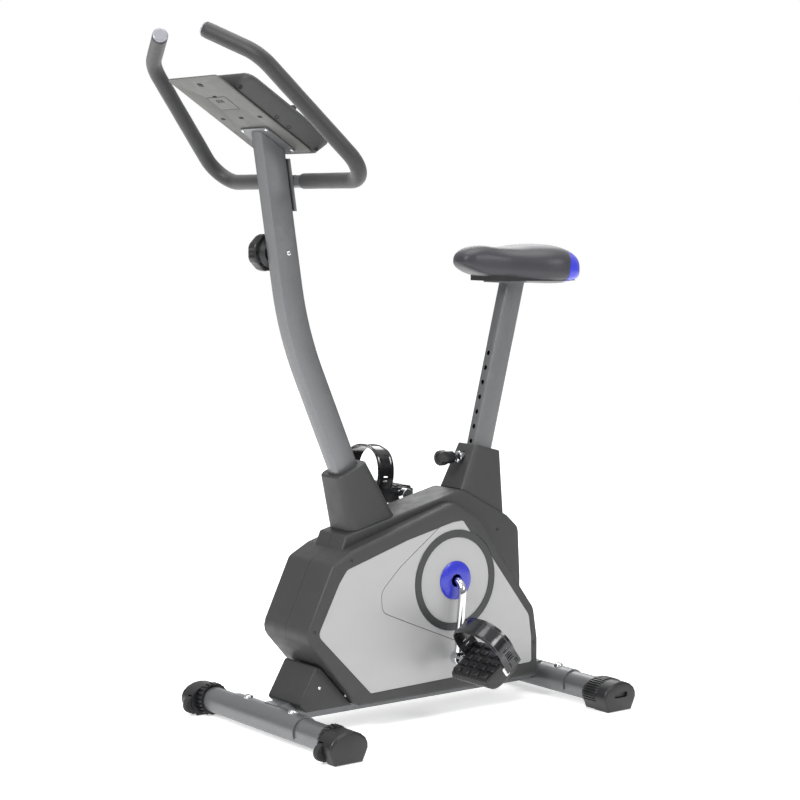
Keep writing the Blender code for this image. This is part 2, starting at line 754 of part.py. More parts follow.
def build_panels():
    """Silver panels, trim rings and blue hub caps of both sides."""
    front = prism("side_panel_left", inset(front_panel_outline(), 0.0005),
                  PANEL_X0, PANEL_X1, "silver")
    mirror_x(front, "side_panel_right", "silver")
    crank = prism("crank_panel_left", inset(crank_panel_outline(), 0.0005),
                  PANEL_X0, PANEL_X1, "silver")
    cut(crank, cylinder("hole", (0.0, BB_Y, BB_Z), 0.020, 0.06, 0.09))
    mirror_x(crank, "crank_panel_right", "silver")
    base = PANEL_X1 + 0.0003
    profile = [(base, RING_INNER), (base, RING_OUTER), (base + 0.0014, RING_OUTER - 0.0006),
               (base + 0.0014, RING_INNER + 0.0006)]
    ring = revolve("trim_ring_left", profile, (0.0, BB_Y, BB_Z), "ring", 48, "X", closed=True)
    mirror_x(ring, "trim_ring_right", "ring")
    profile = [(base, 0.0125), (base, HUB_RADIUS), (base + 0.0015, HUB_RADIUS),
               (base + 0.0042, HUB_RADIUS - 0.006), (base + 0.0045, 0.0125)]
    cap = revolve("hub_cap_left", profile, (0.0, BB_Y, BB_Z), "blue", 32, "X", closed=True)
    mirror_x(cap, "hub_cap_right", "blue")


def build_lower_cover():
    """Wedge-shaped cover over the beam, in front of the main covers."""
    outline = round_corners([(-0.2165, 0.1310, 0.0045), (-0.2570, 0.0620, 0.0060),
                             (-0.2400, 0.0463, 0.0050), (-0.1340, 0.0463),
                             (-0.2050, 0.1265)], 3)
    wedge = prism("front_lower_cover", outline, -0.052, 0.052, "cover", 0.0025)
    cut(wedge, prism("hollow", inset(outline, 0.0022), -0.0495, 0.0480, "cover"))
    cut(wedge, box("beam_gap", (-BEAM_HALF - 0.0004, -0.30, 0.0),
                   (BEAM_HALF + 0.0004, -0.10, BEAM_TOP + 0.0004)))
    return wedge


def build_boot():
    """Sleeve round the foot of the front post, standing on the spine."""
    top_z = 0.4930
    top = rounded_section(0.0365, 0.0360, 0.015, 4)
    bottom = [(a, v - 0.0015) for a, v in rounded_section(0.0425, 0.0535, 0.018, 4)]
    post = rounded_section(POST_HALF_X + FIT_GAP, POST_HALF_V + FIT_GAP, POST_CORNER, 4)
    spine_slope = (0.4380 - 0.3720) / (0.1410 + 0.1420)
    z = 0.40
    for _ in range(20):
        z = spine_top_z(low_axis_y(z)) + FIT_GAP * 1.5
    base = slanted_ring(bottom, low_axis_y(z), POST_LOW_SLOPE, z, spine_slope)
    lean = -POST_LOW_SLOPE
    rim = slanted_ring(top, low_axis_y(top_z), POST_LOW_SLOPE, top_z, lean)
    soft = slanted_ring(inset(top, 0.0025), low_axis_y(top_z + 0.0022), POST_LOW_SLOPE,
                        top_z + 0.0022, lean)
    inner_base = slanted_ring(inset(bottom, WALL), low_axis_y(z), POST_LOW_SLOPE, z, spine_slope)
    under = top_z - 0.0040
    inner_top = slanted_ring(inset(top, WALL), low_axis_y(under), POST_LOW_SLOPE, under, lean)
    lip_low = slanted_ring(post, low_axis_y(under), POST_LOW_SLOPE, under, lean)
    lip_top = slanted_ring(post, low_axis_y(top_z + 0.0022), POST_LOW_SLOPE, top_z + 0.0022, lean)
    return shell_loft("post_boot", [base, rim, soft], [inner_base, inner_top, lip_low, lip_top],
                      "cover")


def build_shroud():
    """Cover round the top of the seat tube, standing on the rear slope."""
    slope = (0.3770 - 0.4380) / (0.2550 - 0.1410)
    base_y = 0.1930
    for _ in range(20):
        base_z = 0.4380 + slope * (base_y - 0.1410) + FIT_GAP * 2.0
        base_y = seat_axis_y(base_z)
    bottom = [(a, v + 0.0085) for a, v in rounded_section(0.0385, 0.0600, 0.010, 4)]
    top = rounded_section(0.0300, 0.0335, 0.008, 4)
    post = rounded_section(SEAT_POST_HALF_X + 0.0012, SEAT_POST_HALF_V + 0.0012,
                           SEAT_POST_CORNER, 4)
    top_z = 0.5140
    ring_base = slanted_ring(bottom, base_y, SEAT_SLOPE, base_z, slope)
    ring_top = slanted_ring(top, seat_axis_y(top_z - 0.002), SEAT_SLOPE, top_z - 0.002,
                            -SEAT_SLOPE)
    ring_soft = slanted_ring(inset(top, 0.002), seat_axis_y(top_z), SEAT_SLOPE, top_z,
                             -SEAT_SLOPE)
    inner_base = slanted_ring(inset(bottom, WALL), base_y, SEAT_SLOPE, base_z, slope)
    under = top_z - 0.0035
    inner_top = slanted_ring(inset(top, WALL), seat_axis_y(under), SEAT_SLOPE, under, -SEAT_SLOPE)
    lip_low = slanted_ring(post, seat_axis_y(under), SEAT_SLOPE, under, -SEAT_SLOPE)
    lip_top = slanted_ring(post, seat_axis_y(top_z), SEAT_SLOPE, top_z, -SEAT_SLOPE)
    shroud = shell_loft("seat_shroud", [ring_base, ring_top, ring_soft],
                        [inner_base, inner_top, lip_low, lip_top], "cover")
    cut(shroud, cylinder("pin_hole", (0.0, 0.170, PIN_Z), 0.0092, -0.015, 0.020, "Y"))
    return shroud


# ---------------------------------------------------------------- drive
def crank_ends():
    """Side-plane positions of the left and right pedal axes."""
    dy = -CRANK_LENGTH * math.sin(CRANK_ANGLE)
    dz = -CRANK_LENGTH * math.cos(CRANK_ANGLE)
    return (BB_Y + dy, BB_Z + dz), (BB_Y - dy, BB_Z - dz)


def build_crank():
    """One-piece bent crank with its pedal eyes and spindles."""
    left, right = crank_ends()
    corners = [(-CRANK_ARM_X, right[0], right[1]), (-CRANK_ARM_X, BB_Y, BB_Z, CRANK_BEND),
               (CRANK_ARM_X, BB_Y, BB_Z, CRANK_BEND), (CRANK_ARM_X, left[0], left[1])]
    crank = rod("crank", bend_path(corners, 6), CRANK_ROD, "chrome", 14, (0.0, BB_Y, BB_Z))
    for sign, (y, z) in ((1.0, left), (-1.0, right)):
        x0, x1 = sorted((sign * 0.0925, sign * 0.1095))
        weld(crank, cylinder("eye", (0.0, y, z), 0.0130, x0, x1, segments=20))
        x0, x1 = sorted((sign * 0.1080, sign * (PEDAL_OUTER_X - 0.008)))
        weld(crank, cylinder("spindle", (0.0, y, z), SPINDLE_RADIUS, x0, x1, segments=16))
    return crank


def build_crank_pulley():
    """Large belt pulley fixed on the crank, with five windows."""
    x0, x1 = PULLEY_X0, PULLEY_X1
    web0, web1 = x0 + 0.004, x0 + 0.0075
    profile = [(x0, CRANK_ROD + FIT_GAP), (x0, 0.020), (web0, 0.021), (web0, 0.074),
               (x0, 0.075), (x0, PULLEY_RADIUS), (x1, PULLEY_RADIUS), (x1, 0.075),
               (web1, 0.074), (web1, 0.021), (x1, 0.020), (x1, CRANK_ROD + FIT_GAP)]
    pulley = revolve("crank_pulley", profile, (0.0, BB_Y, BB_Z), "black", 36, "X", closed=True)
    for k in range(5):
        angle = 2.0 * math.pi * k / 5 + 0.3
        cut(pulley, cylinder("window", (0.0, BB_Y + 0.048 * math.cos(angle),
                                        BB_Z + 0.048 * math.sin(angle)), 0.015, x0 - 0.01,
                             x1 + 0.01, segments=12))
    return pulley


def belt_outline(extra):
    """Tight loop round both pulleys at a distance outside their rims."""
    big = PULLEY_RADIUS + extra
    small = SMALL_PULLEY_RADIUS + extra
    dy, dz = BB_Y - FLY_Y, BB_Z - FLY_Z
    span = math.hypot(dy, dz)
    line = math.atan2(dz, dy)
    lean = math.pi - math.acos((big - small) / span)
    points = []
    for k in range(25):
        angle = line - lean + 2.0 * lean * k / 24
        points.append((BB_Y + big * math.cos(angle), BB_Z + big * math.sin(angle)))
    for k in range(9):
        angle = line + lean + (2.0 * math.pi - 2.0 * lean) * k / 8
        points.append((FLY_Y + small * math.cos(angle), FLY_Z + small * math.sin(angle)))
    return points


def build_belt():
    """Flat belt between the crank pulley and the flywheel's small pulley."""
    levels = (PULLEY_X0 + 0.001, PULLEY_X1 - 0.001)
    outer = belt_outline(FIT_GAP + BELT_THICKNESS)
    inner = belt_outline(FIT_GAP)
    return shell_loft("drive_belt", [[(x, y, z) for y, z in outer] for x in levels],
                      [[(x, y, z) for y, z in inner] for x in levels], "rubber")


def build_flywheel():
    """Flywheel, small belt pulley and spindle, all turning as one."""
    small = SMALL_PULLEY_RADIUS
    profile = [(-0.044, 0.0), (-0.044, 0.006), (-0.024, 0.006), (-0.024, 0.016),
               (-0.005, 0.018), (-0.005, 0.070), (-0.014, 0.074), (-0.014, FLY_RADIUS),
               (0.014, FLY_RADIUS), (0.014, 0.074), (0.005, 0.070), (0.005, 0.018),
               (0.024, 0.016), (0.024, 0.009), (PULLEY_X0, 0.009), (PULLEY_X0, small),
               (PULLEY_X1, small), (PULLEY_X1, 0.006), (0.066, 0.006), (0.066, 0.0)]
    return revolve("flywheel", profile, (0.0, FLY_Y, FLY_Z), "iron", 32)


def build_bearings():
    """Crank bearings in the shell and flywheel bearings in the fork."""
    centre = (0.0, BB_Y, BB_Z)
    left = washer("crank_bearing_left", centre, CRANK_ROD + FIT_GAP, BB_BORE - FIT_GAP,
                  0.0230, BB_HALF, "iron")
    mirror_x(left, "crank_bearing_right", "iron")
    centre = (0.0, FLY_Y, FLY_Z)
    for name, x in (("flywheel_bearing_left", FORK_LEFT_X),
                    ("flywheel_bearing_right", FORK_RIGHT_X)):
        washer(name, centre, 0.006 + FIT_GAP, 0.0139 - FIT_GAP, x - 0.0015,
               x + FORK_PLATE + 0.0015, "iron")


def build_magnets():
    """Curved magnet bracket on its pivot and the magnet strip inside it."""
    y, z = magnet_pivot()
    centre = (0.0, y, z)
    start, end = math.radians(74.0), math.radians(150.0)
    arc = arc_outline(FLY_Y, FLY_Z, 0.1025, 0.1055, start, end, 12)
    bracket = prism("magnet_bracket", arc, -0.0160, 0.0160, "steel", 0.0, centre)
    cheek_arc = arc_outline(FLY_Y, FLY_Z, 0.1030, 0.1160, math.radians(67.5),
                            math.radians(92.0), 6)
    for x0, x1 in ((-0.0115, -0.0085), (0.0085, 0.0115)):
        cheek = prism("cheek", cheek_arc, x0, x1, "steel")
        weld(cheek, cylinder("eye", (0.0, y, z), 0.0080, x0, x1, segments=24))
        weld(bracket, cheek)
    cut(bracket, cylinder("pin_hole", (0.0, y, z), 0.0044, -0.02, 0.02, segments=24))
    strip = arc_outline(FLY_Y, FLY_Z, 0.0985, 0.1021, math.radians(84.0),
                        math.radians(146.0), 12)
    prism("magnet_strip", strip, -0.0130, 0.0130, "iron", 0.0, centre)
    return bracket


def build_sensor():
    """Reed sensor beside the crank pulley and its wire up to the console."""
    box("speed_sensor", (SEAT_POST_HALF_X + 0.0054, 0.138, 0.286), (0.0340, 0.164, 0.306),
        "black")
    inside = 0.006
    path = [Vector((0.026, 0.1372, 0.296)), Vector((0.026, 0.060, 0.318)),
            Vector((0.026, -0.020, 0.352)), Vector((0.0235, -0.050, 0.363)),
            Vector((0.0160, low_axis_y(0.366), 0.3665)),
            Vector((0.0085, low_axis_y(0.374), 0.374)),
            Vector((inside, low_axis_y(0.390), 0.390))]
    path += axis_run(inside, 0.45, 1.085)
    rod("sensor_wire", path, 0.0016, "black", 8)


def control_y():
    """Side-plane position of the tension knob's axis."""
    return top_axis_y(CONTROL_Z) - 0.0040


def axis_run(x, z0, z1):
    """Points up the middle of the front post at a side offset x."""
    path = [Vector((x, low_axis_y(z0), z0))]
    for point in post_path()[1:-1]:
        if z0 < point.z < z1:
            path.append(Vector((x, point.y, point.z)))
    path.append(Vector((x, top_axis_y(z1), z1)))
    return path


def build_cable():
    """Tension cable from the knob down the post to the magnet bracket."""
    inside = -0.006
    path = [Vector((-0.0100, control_y(), CONTROL_Z)),
            Vector((-0.0080, top_axis_y(0.893) - 0.002, 0.893)),
            Vector((inside, top_axis_y(0.872), 0.872))]
    run = axis_run(inside, 0.41, 0.86)
    path += list(reversed(run))
    exit_z = 0.372
    path += [Vector((inside, low_axis_y(0.385) - 0.010, 0.385)),
             Vector((inside, low_axis_y(exit_z) - 0.027, exit_z)),
             Vector((-0.004, -0.125, 0.350)), Vector((-0.002, -0.170, 0.315)),
             Vector((0.0, -0.200, 0.275)), Vector((0.0, -0.2118, 0.2500))]
    rod("tension_cable", path, 0.0014, "black", 8)


# ---------------------------------------------------------------- front post and knob
def post_path():
    """Centre line of the front post from its foot to its top."""
    low_dir = Vector((0.0, POST_LOW_SLOPE, 1.0)).normalized()
    top_dir = Vector((0.0, POST_TOP_SLOPE, 1.0)).normalized()
    half = 0.5 * low_dir.angle(top_dir)
    radius = POST_TANGENT / math.tan(half)
    corners = [(0.0, low_axis_y(POST_BOTTOM_Z), POST_BOTTOM_Z),
               (0.0, POST_KNEE_Y, POST_KNEE_Z, radius),
               (0.0, top_axis_y(POST_TOP_Z), POST_TOP_Z)]
    return bend_path(corners, 8)


def build_front_post():
    """Bent oval tube, with a hole for the tension control."""
    outer = rounded_section(POST_HALF_X, POST_HALF_V, POST_CORNER)
    inner = rounded_section(POST_HALF_X - TUBE_WALL, POST_HALF_V - TUBE_WALL,
                            POST_CORNER - TUBE_WALL)
    path = post_path()
    stacks = []
    for section in (outer, inner):
        rings = []
        for i, point in enumerate(path):
            low = path[max(i - 1, 0)]
            high = path[min(i + 1, len(path) - 1)]
            along = (high - low).normalized()
            across = Vector((0.0, along.z, -along.y))
            rings.append([tuple(point + Vector((a, 0.0, 0.0)) + across * v)
                          for a, v in section])
        rings[-1] = slanted_ring(section, top_axis_y(POST_TOP_Z), POST_TOP_SLOPE, POST_TOP_Z,
                                 -math.tan(CONSOLE_TILT))
        stacks.append(rings)
    post = shell_loft("front_post", stacks[0], stacks[1], "steel")
    cut(post, cylinder("control_hole", (-POST_HALF_X, control_y(), CONTROL_Z), 0.0065,
                       -0.006, 0.006))
    return post


def build_tension_control():
    """Housing on the right face of the post and the knob that turns in it."""
    y = control_y()
    face = -POST_HALF_X - 0.0003
    profile = [(-0.0130, 0.0), (-0.0130, 0.0058), (face, 0.0058), (face, 0.0225),
               (face - 0.006, 0.0290), (face - 0.0150, 0.0290), (face - 0.0150, 0.0)]
    revolve("tension_housing", profile, (0.0, y, CONTROL_Z), "black", 24)
    start = face - 0.0153
    count = 40
    rings = []
    for x, base in ((start, 0.0340), (start - 0.003, 0.0362), (start - 0.022, 0.0357),
                    (start - 0.0265, 0.0320), (start - 0.0265, 0.0220),
                    (start - 0.0245, 0.0200)):
        ring = []
        for k in range(count):
            angle = 2.0 * math.pi * k / count
            depth = 0.0018 if base > 0.033 and k % 5 in (3, 4) else 0.0
            radius = base - depth
            ring.append((x, y + radius * math.cos(angle),
                         CONTROL_Z + radius * math.sin(angle)))
        rings.append(ring)
    return loft("tension_knob", rings, "black", (start, y, CONTROL_Z))


# ---------------------------------------------------------------- handlebar
def bar_corners(sign, inner_x):
    """Corner points of one side of the handlebar."""
    return [(sign * inner_x, BAR_Y, BAR_Z), (sign * 0.249, BAR_Y, BAR_Z, 0.050),
            (sign * 0.180, -0.4250, 1.2500, 0.070), (sign * 0.0780, -0.4680, 1.2960)]


def build_handlebar():
    """Bent tube welded to the plate that bolts to the back of the post."""
    path = bend_path(bar_corners(1.0, 0.0), 5)
    stacks = []
    for radius in (BAR_RADIUS, BAR_RADIUS - 0.0018):
        left = sweep_rings(path, circle_section(radius, BAR_SIDES))
        right = [[(-x, y, z) for x, y, z in ring] for ring in reversed(left[1:])]
        stacks.append(right + left)
    bar = shell_loft("handlebar", stacks[0], stacks[1], "steel")
    slope = POST_TOP_SLOPE
    front_low, front_high = 0.982, 1.078
    offset = POST_HALF_V * math.sqrt(1.0 + slope * slope) + FIT_GAP
    outline = [(top_axis_y(front_low) + offset, front_low),
               (top_axis_y(front_low) + offset + 0.0045, front_low),
               (top_axis_y(front_high) + offset + 0.0045, front_high),
               (top_axis_y(front_high) + offset, front_high)]
    plate = prism("plate", outline, -0.0190, 0.0190, "steel")
    weld(plate, prism("saddle_block", [(BAR_Y - 0.0125, BAR_Z - 0.011), (BAR_Y - 0.001, BAR_Z - 0.011),
                                       (BAR_Y - 0.001, BAR_Z + 0.011), (BAR_Y - 0.0125, BAR_Z + 0.011)],
                      -0.014, 0.014, "steel"))
    cut(plate, cylinder("bar_bore", (0.0, BAR_Y, BAR_Z), BAR_RADIUS - 0.0009, -0.03, 0.03))
    return weld(bar, plate)


def build_grips():
    """Foam sleeves over both arms and the plugs in the tube ends."""
    path = bend_path(bar_corners(1.0, 0.034), 5)
    end = path[-1] - (path[-1] - path[-2]).normalized() * 0.0005
    path[-1] = end
    grip = pipe("grip_left", path, BAR_RADIUS + FIT_GAP, GRIP_RADIUS, "foam", BAR_SIDES)
    mirror_x(grip, "grip_right", "foam")
    tip = Vector(bar_corners(1.0, 0.0)[-1][:3])
    out = (tip - Vector(bar_corners(1.0, 0.0)[-2][:3])).normalized()
    rings = []
    stations = ((-0.018, 0.0100), (0.0006, 0.0100), (0.0006, 0.0144), (0.0022, 0.0144),
                (0.0036, 0.0128), (0.0042, 0.0090))
    side = out.cross(Vector((0.0, 0.0, 1.0))).normalized()
    up = side.cross(out)
    for along, radius in stations:
        ring = []
        for k in range(16):
            angle = 2.0 * math.pi * k / 16
            point = tip + out * along + side * radius * math.cos(angle) + up * radius * math.sin(angle)
            ring.append(tuple(point))
        rings.append(ring)
    plug = loft("grip_plug_left", rings, "silver")
    mirror_x(plug, "grip_plug_right", "silver")


# ---------------------------------------------------------------- console
def console_point(x, s, t):
    """Console coordinates: s down the back face, t out towards the rider."""
    cos, sin = math.cos(CONSOLE_TILT), math.sin(CONSOLE_TILT)
    return (x, CONSOLE_Y + s * cos + t * sin, CONSOLE_Z - s * sin + t * cos)


def console_ring(half_x, s0, s1, t, radius, steps=3):
    """Rounded rectangle parallel to the console's back."""
    corners = [(-half_x, s0, radius), (half_x, s0, radius), (half_x, s1, radius),
               (-half_x, s1, radius)]
    return [console_point(x, s, t) for x, s in round_corners(corners, steps)]


def console_slab(name, half_x, s0, s1, t0, t1, radius, key):
    """Plate with rounded corners parallel to the console's back."""
    return loft(name, [console_ring(half_x, s0, s1, t0, radius),
                       console_ring(half_x, s0, s1, t1, radius)], key)


def build_console():
    """Housing, back plate, battery door, lens, button and mounting bracket."""
    rings = [console_ring(0.080, -0.140, 0.058, 0.0035, 0.010),
             console_ring(0.087, -0.147, 0.062, 0.0060, 0.014),
             console_ring(0.110, -0.152, 0.063, 0.0240, 0.020),
             console_ring(0.112, -0.152, 0.062, 0.0300, 0.020),
             console_ring(0.108, -0.148, 0.056, 0.0350, 0.018),
             console_ring(0.100, -0.140, 0.050, 0.0370, 0.014)]
    housing = loft("console_housing", rings, "cover")
    weld(housing, console_slab("ledge", 0.096, -0.030, -0.026, 0.0360, 0.0480, 0.001, "cover"))
    cut(housing, console_slab("lens_bed", 0.0660, -0.1250, -0.0450, 0.0350, 0.05, 0.006, "cover"))
    button_s = 0.0150
    button = console_point(0.0, button_s, 0.0)
    cut(housing, console_disc("button_bed", button_s, 0.0106, 0.0310, 0.05, "cover"))
    console_slab("console_lens", 0.0655, -0.1245, -0.0455, 0.0354, 0.0366, 0.0056, "glass")
    press = console_disc("mode_button", button_s, 0.0100, 0.0335, 0.0385, "black")
    move_origin(press, console_point(0.0, button_s, 0.0335))

    back = console_slab("console_back", 0.0835, -0.1900, 0.0500, 0.0, 0.0030, 0.008, "lightgrey")
    cut(back, console_slab("hang_hole", 0.006, -0.1720, -0.1660, -0.01, 0.01, 0.001, "cover"))
    cut(back, console_slab_at("door_bed", 0.0, 0.0300, -0.1300, -0.0920, -0.01, 0.0016))
    door = console_slab_at("battery_door", 0.0, 0.0296, -0.1296, -0.0924, -0.0004, 0.0012)
    door.data.materials.clear()
    door.data.materials.append(make_material("battery_door", "lightgrey"))

    bracket = console_slab("console_bracket", 0.0450, -0.0350, 0.0420, -0.0036, -0.0006, 0.006,
                           "steel")
    half_x = POST_HALF_X - TUBE_WALL - FIT_GAP
    half_v = POST_HALF_V - TUBE_WALL - FIT_GAP
    outer = rounded_section(half_x, half_v, 0.0072)
    inner = rounded_section(half_x - 0.0025, half_v - 0.0025, 0.005)
    plane = -math.tan(CONSOLE_TILT)
    plate_z = CONSOLE_Z + math.tan(CONSOLE_TILT) * (CONSOLE_Y - top_axis_y(CONSOLE_Z))
    plate_z -= 0.0026
    stacks = []
    for section in (outer, inner):
        stacks.append([slanted_ring(section, top_axis_y(1.070), POST_TOP_SLOPE, 1.070,
                                    -POST_TOP_SLOPE),
                       slanted_ring(section, top_axis_y(plate_z), POST_TOP_SLOPE, plate_z,
                                    plane)])
    weld(bracket, shell_loft("stub", stacks[0], stacks[1], "steel"))
    return bracket


def console_slab_at(name, x, half_x, s0, s1, t0, t1):
    """Console plate centred at x."""
    slab = console_slab(name, half_x, s0, s1, t0, t1, 0.002, "cover")
    slab.location.x += x
    return slab


def console_disc(name, s, radius, t0, t1, key, x=0.0):
    """Round plug square to the console face."""
    rings = []
    for t in (t0, t1):
        ring = []
        for k in range(20):
            angle = 2.0 * math.pi * k / 20
            ring.append(console_point(x + radius * math.cos(angle),
                                      s + radius * math.sin(angle), t))
        rings.append(ring)
    return loft(name, rings, key)


def move_origin(body, point):
    """Move an object's origin without moving its geometry."""
    shift = Vector(point) - body.location
    body.data.transform(Matrix.Translation(-shift))
    body.location = Vector(point)


# ---------------------------------------------------------------- seat
def build_bushing():
    """Plastic sleeve between the seat tube and the seat post."""
    outer = rounded_section(SEAT_POST_HALF_X + 0.0027, SEAT_POST_HALF_V + 0.0022, 0.0078)
    flange = rounded_section(SEAT_POST_HALF_X + 0.0050, SEAT_POST_HALF_V + 0.0045, 0.010)
    inner = rounded_section(SEAT_POST_HALF_X + 0.0004, SEAT_POST_HALF_V + 0.0004,
                            SEAT_POST_CORNER)
    lean = -SEAT_SLOPE
    low, rim, high = 0.405, SEAT_TUBE_TOP_Z + 0.0005, SEAT_TUBE_TOP_Z + 0.0060
    rings = [slanted_ring(outer, seat_axis_y(low), SEAT_SLOPE, low, lean),
             slanted_ring(outer, seat_axis_y(rim), SEAT_SLOPE, rim, lean),
             slanted_ring(flange, seat_axis_y(rim), SEAT_SLOPE, rim, lean),
             slanted_ring(flange, seat_axis_y(high), SEAT_SLOPE, high, lean)]
    bore = [slanted_ring(inner, seat_axis_y(z), SEAT_SLOPE, z, lean) for z in (low, high)]
    sleeve = shell_loft("seat_tube_bushing", rings, bore, "black")
    front = seat_axis_y(PIN_Z) - 0.026
    cut(sleeve, cylinder("pin_hole", (0.0, front, PIN_Z), PIN_RADIUS + 0.0008, -0.012, 0.010, "Y",
                         segments=20))
    return sleeve


def build_seat_post():
    """Sliding post with its row of height holes and the plate under the saddle."""
    outer = rounded_section(SEAT_POST_HALF_X, SEAT_POST_HALF_V, SEAT_POST_CORNER)
    inner = rounded_section(SEAT_POST_HALF_X - TUBE_WALL, SEAT_POST_HALF_V - TUBE_WALL,
                            SEAT_POST_CORNER - TUBE_WALL)
    low = SEAT_POST_BOTTOM_Z
    high = SEAT_POST_TOP_Z
    stacks = []
    for section in (outer, inner):
        stacks.append([slanted_ring(section, seat_axis_y(low), SEAT_SLOPE, low, -SEAT_SLOPE),
                       slanted_ring(section, seat_axis_y(high), SEAT_SLOPE, high, 0.0)])
    post = shell_loft("seat_post", stacks[0], stacks[1], "steel")
    for k in range(-HOLES_BELOW, HOLES_ABOVE + 1):
        z = PIN_Z + k * HOLE_PITCH / math.sqrt(1.0 + SEAT_SLOPE ** 2)
        cut(post, cylinder("hole", (0.0, seat_axis_y(z), z), HOLE_RADIUS, -0.035, 0.0, "Y",
                           segments=12))
    y = seat_axis_y(high)
    weld(post, box("top_plate", (-0.0350, y - 0.045, high - 0.0008), (0.0350, y + 0.050,
                                                                    high + 0.0032)))
    move_origin(post, (0.0, seat_axis_y(PIN_Z), PIN_Z))
    return post


SADDLE_STATIONS = (
    # y, half width, bottom z, top z
    (0.1580, 0.0100, 0.8790, 0.8910),
    (0.1650, 0.0230, 0.8730, 0.9020),
    (0.1820, 0.0340, 0.8650, 0.9110),
    (0.2120, 0.0430, 0.8560, 0.9160),
    (0.2500, 0.0580, 0.8510, 0.9100),
    (0.2900, 0.0820, 0.8450, 0.9110),
    (0.3250, 0.1000, 0.8400, 0.9170),
    (0.3600, 0.1060, 0.8380, 0.9180),
    (0.3920, 0.0985, 0.8385, 0.9120),
    (0.4110, 0.0810, 0.8420, 0.9000),
    (0.4190, 0.0600, 0.8500, 0.8870),
)


def saddle_ring(y, half, bottom, top, steps=24):
    """Cross-section of the saddle pad: domed top, boxier lower half."""
    ring = []
    middle = bottom + 0.45 * (top - bottom)
    for k in range(steps):
        angle = 2.0 * math.pi * k / steps
        cos, sin = math.cos(angle), math.sin(angle)
        power = 0.78 if sin >= 0.0 else 0.50
        wide = math.copysign(abs(cos) ** power, cos)
        tall = abs(sin) ** power
        z = middle + (top - middle) * tall if sin >= 0.0 else middle - (middle - bottom) * tall
        ring.append((half * wide, y, z))
    return ring


def saddle_base_outline(extra):
    """Plan outline of the saddle's base plate, grown by a clearance."""
    left = []
    for y, half, _, _ in SADDLE_STATIONS[3:9]:
        left.append((half - 0.0120 + extra, y))
    left[0] = (left[0][0], left[0][1] + 0.0060 - extra)
    left[-1] = (left[-1][0], left[-1][1] + extra)
    right = [(-x, y) for x, y in reversed(left)]
    return left + right


def flat_slab(name, outline, z0, z1, key):
    """Plan outline (x, y) extruded upward."""
    return loft(name, [[(x, y, z) for x, y in outline] for z in (z0, z1)], key)


def build_saddle():
    """Pad with a hollow underside, and the base plate set into it."""
    pad = loft("saddle_pad", [saddle_ring(*row) for row in SADDLE_STATIONS], "vinyl")
    base_z = SEAT_POST_TOP_Z + 0.0036
    top_z = base_z + 0.0105
    cut(pad, flat_slab("hollow", saddle_base_outline(FIT_GAP), 0.80, top_z + FIT_GAP, "vinyl"))
    flat_slab("saddle_base", saddle_base_outline(0.0), base_z, top_z, "black")


def build_pull_pin():
    """Spring pin with its knob, and the threaded collar it slides in."""
    tip = seat_axis_y(PIN_Z) - SEAT_POST_HALF_V * math.sqrt(1.0 + SEAT_SLOPE ** 2) - 0.0018
    knob = 0.1500
    profile = [(tip, 0.0), (tip, 0.0032), (tip - 0.002, PIN_RADIUS), (knob, PIN_RADIUS),
               (knob, 0.0100), (knob - 0.003, 0.0125), (knob - 0.018, 0.0125),
               (knob - 0.022, 0.0155), (knob - 0.034, 0.0155), (knob - 0.037, 0.0135),
               (knob - 0.037, 0.0085), (knob - 0.0345, 0.0075), (knob - 0.0345, 0.0)]
    pin = revolve("seat_pull_pin", [(along, radius) for along, radius in profile],
                  (0.0, 0.0, PIN_Z), "black", 20, "Y")
    move_origin(pin, (0.0, knob, PIN_Z))
    start = 0.1605
    shroud = 0.1668
    end = seat_axis_y(PIN_Z) - (SEAT_POST_HALF_V + 0.0045) * math.sqrt(1.0 + SEAT_SLOPE ** 2)
    inner = PIN_RADIUS + FIT_GAP
    profile = [(start, inner), (start, 0.0085), (start + 0.002, 0.0115), (shroud - 0.001, 0.0115),
               (shroud - 0.001, 0.0085), (end, 0.0085), (end, inner)]
    revolve("pin_collar", profile, (0.0, 0.0, PIN_Z), "chrome", 20, "Y", closed=True)
    return pin


# ---------------------------------------------------------------- pedals
def pedal_turn(points, pitch, y, z):
    """Pedal-plane points (a back, b up) pitched about the pedal's axis."""
    cos, sin = math.cos(pitch), math.sin(pitch)
    return [(y + a * cos - b * sin, z + a * sin + b * cos) for a, b in points]


def build_pedal(name, sign, pitch, y, z):
    """Pedal body with a weighted underside and a bore for the spindle."""
    half = PEDAL_HALF_LENGTH
    outline = round_corners([(-half, 0.0125, 0.0050), (-half, -0.0060, 0.0060),
                             (-0.0280, -0.0215, 0.012), (0.0280, -0.0215, 0.012),
                             (half, -0.0060, 0.0060), (half, 0.0125, 0.0050)], 3)
    outline = pedal_turn(outline, pitch, y, z)
    x0, x1 = sign * PEDAL_INNER_X, sign * PEDAL_OUTER_X
    pedal = prism(name, outline, x0, x1, "black", 0.003, (x0, y, z))
    low, high = sorted((sign * 0.118, sign * (PEDAL_OUTER_X - 0.007)))
    cut(pedal, cylinder("bore", (0.0, y, z), SPINDLE_RADIUS + FIT_GAP, low, high, segments=24))
    return pedal


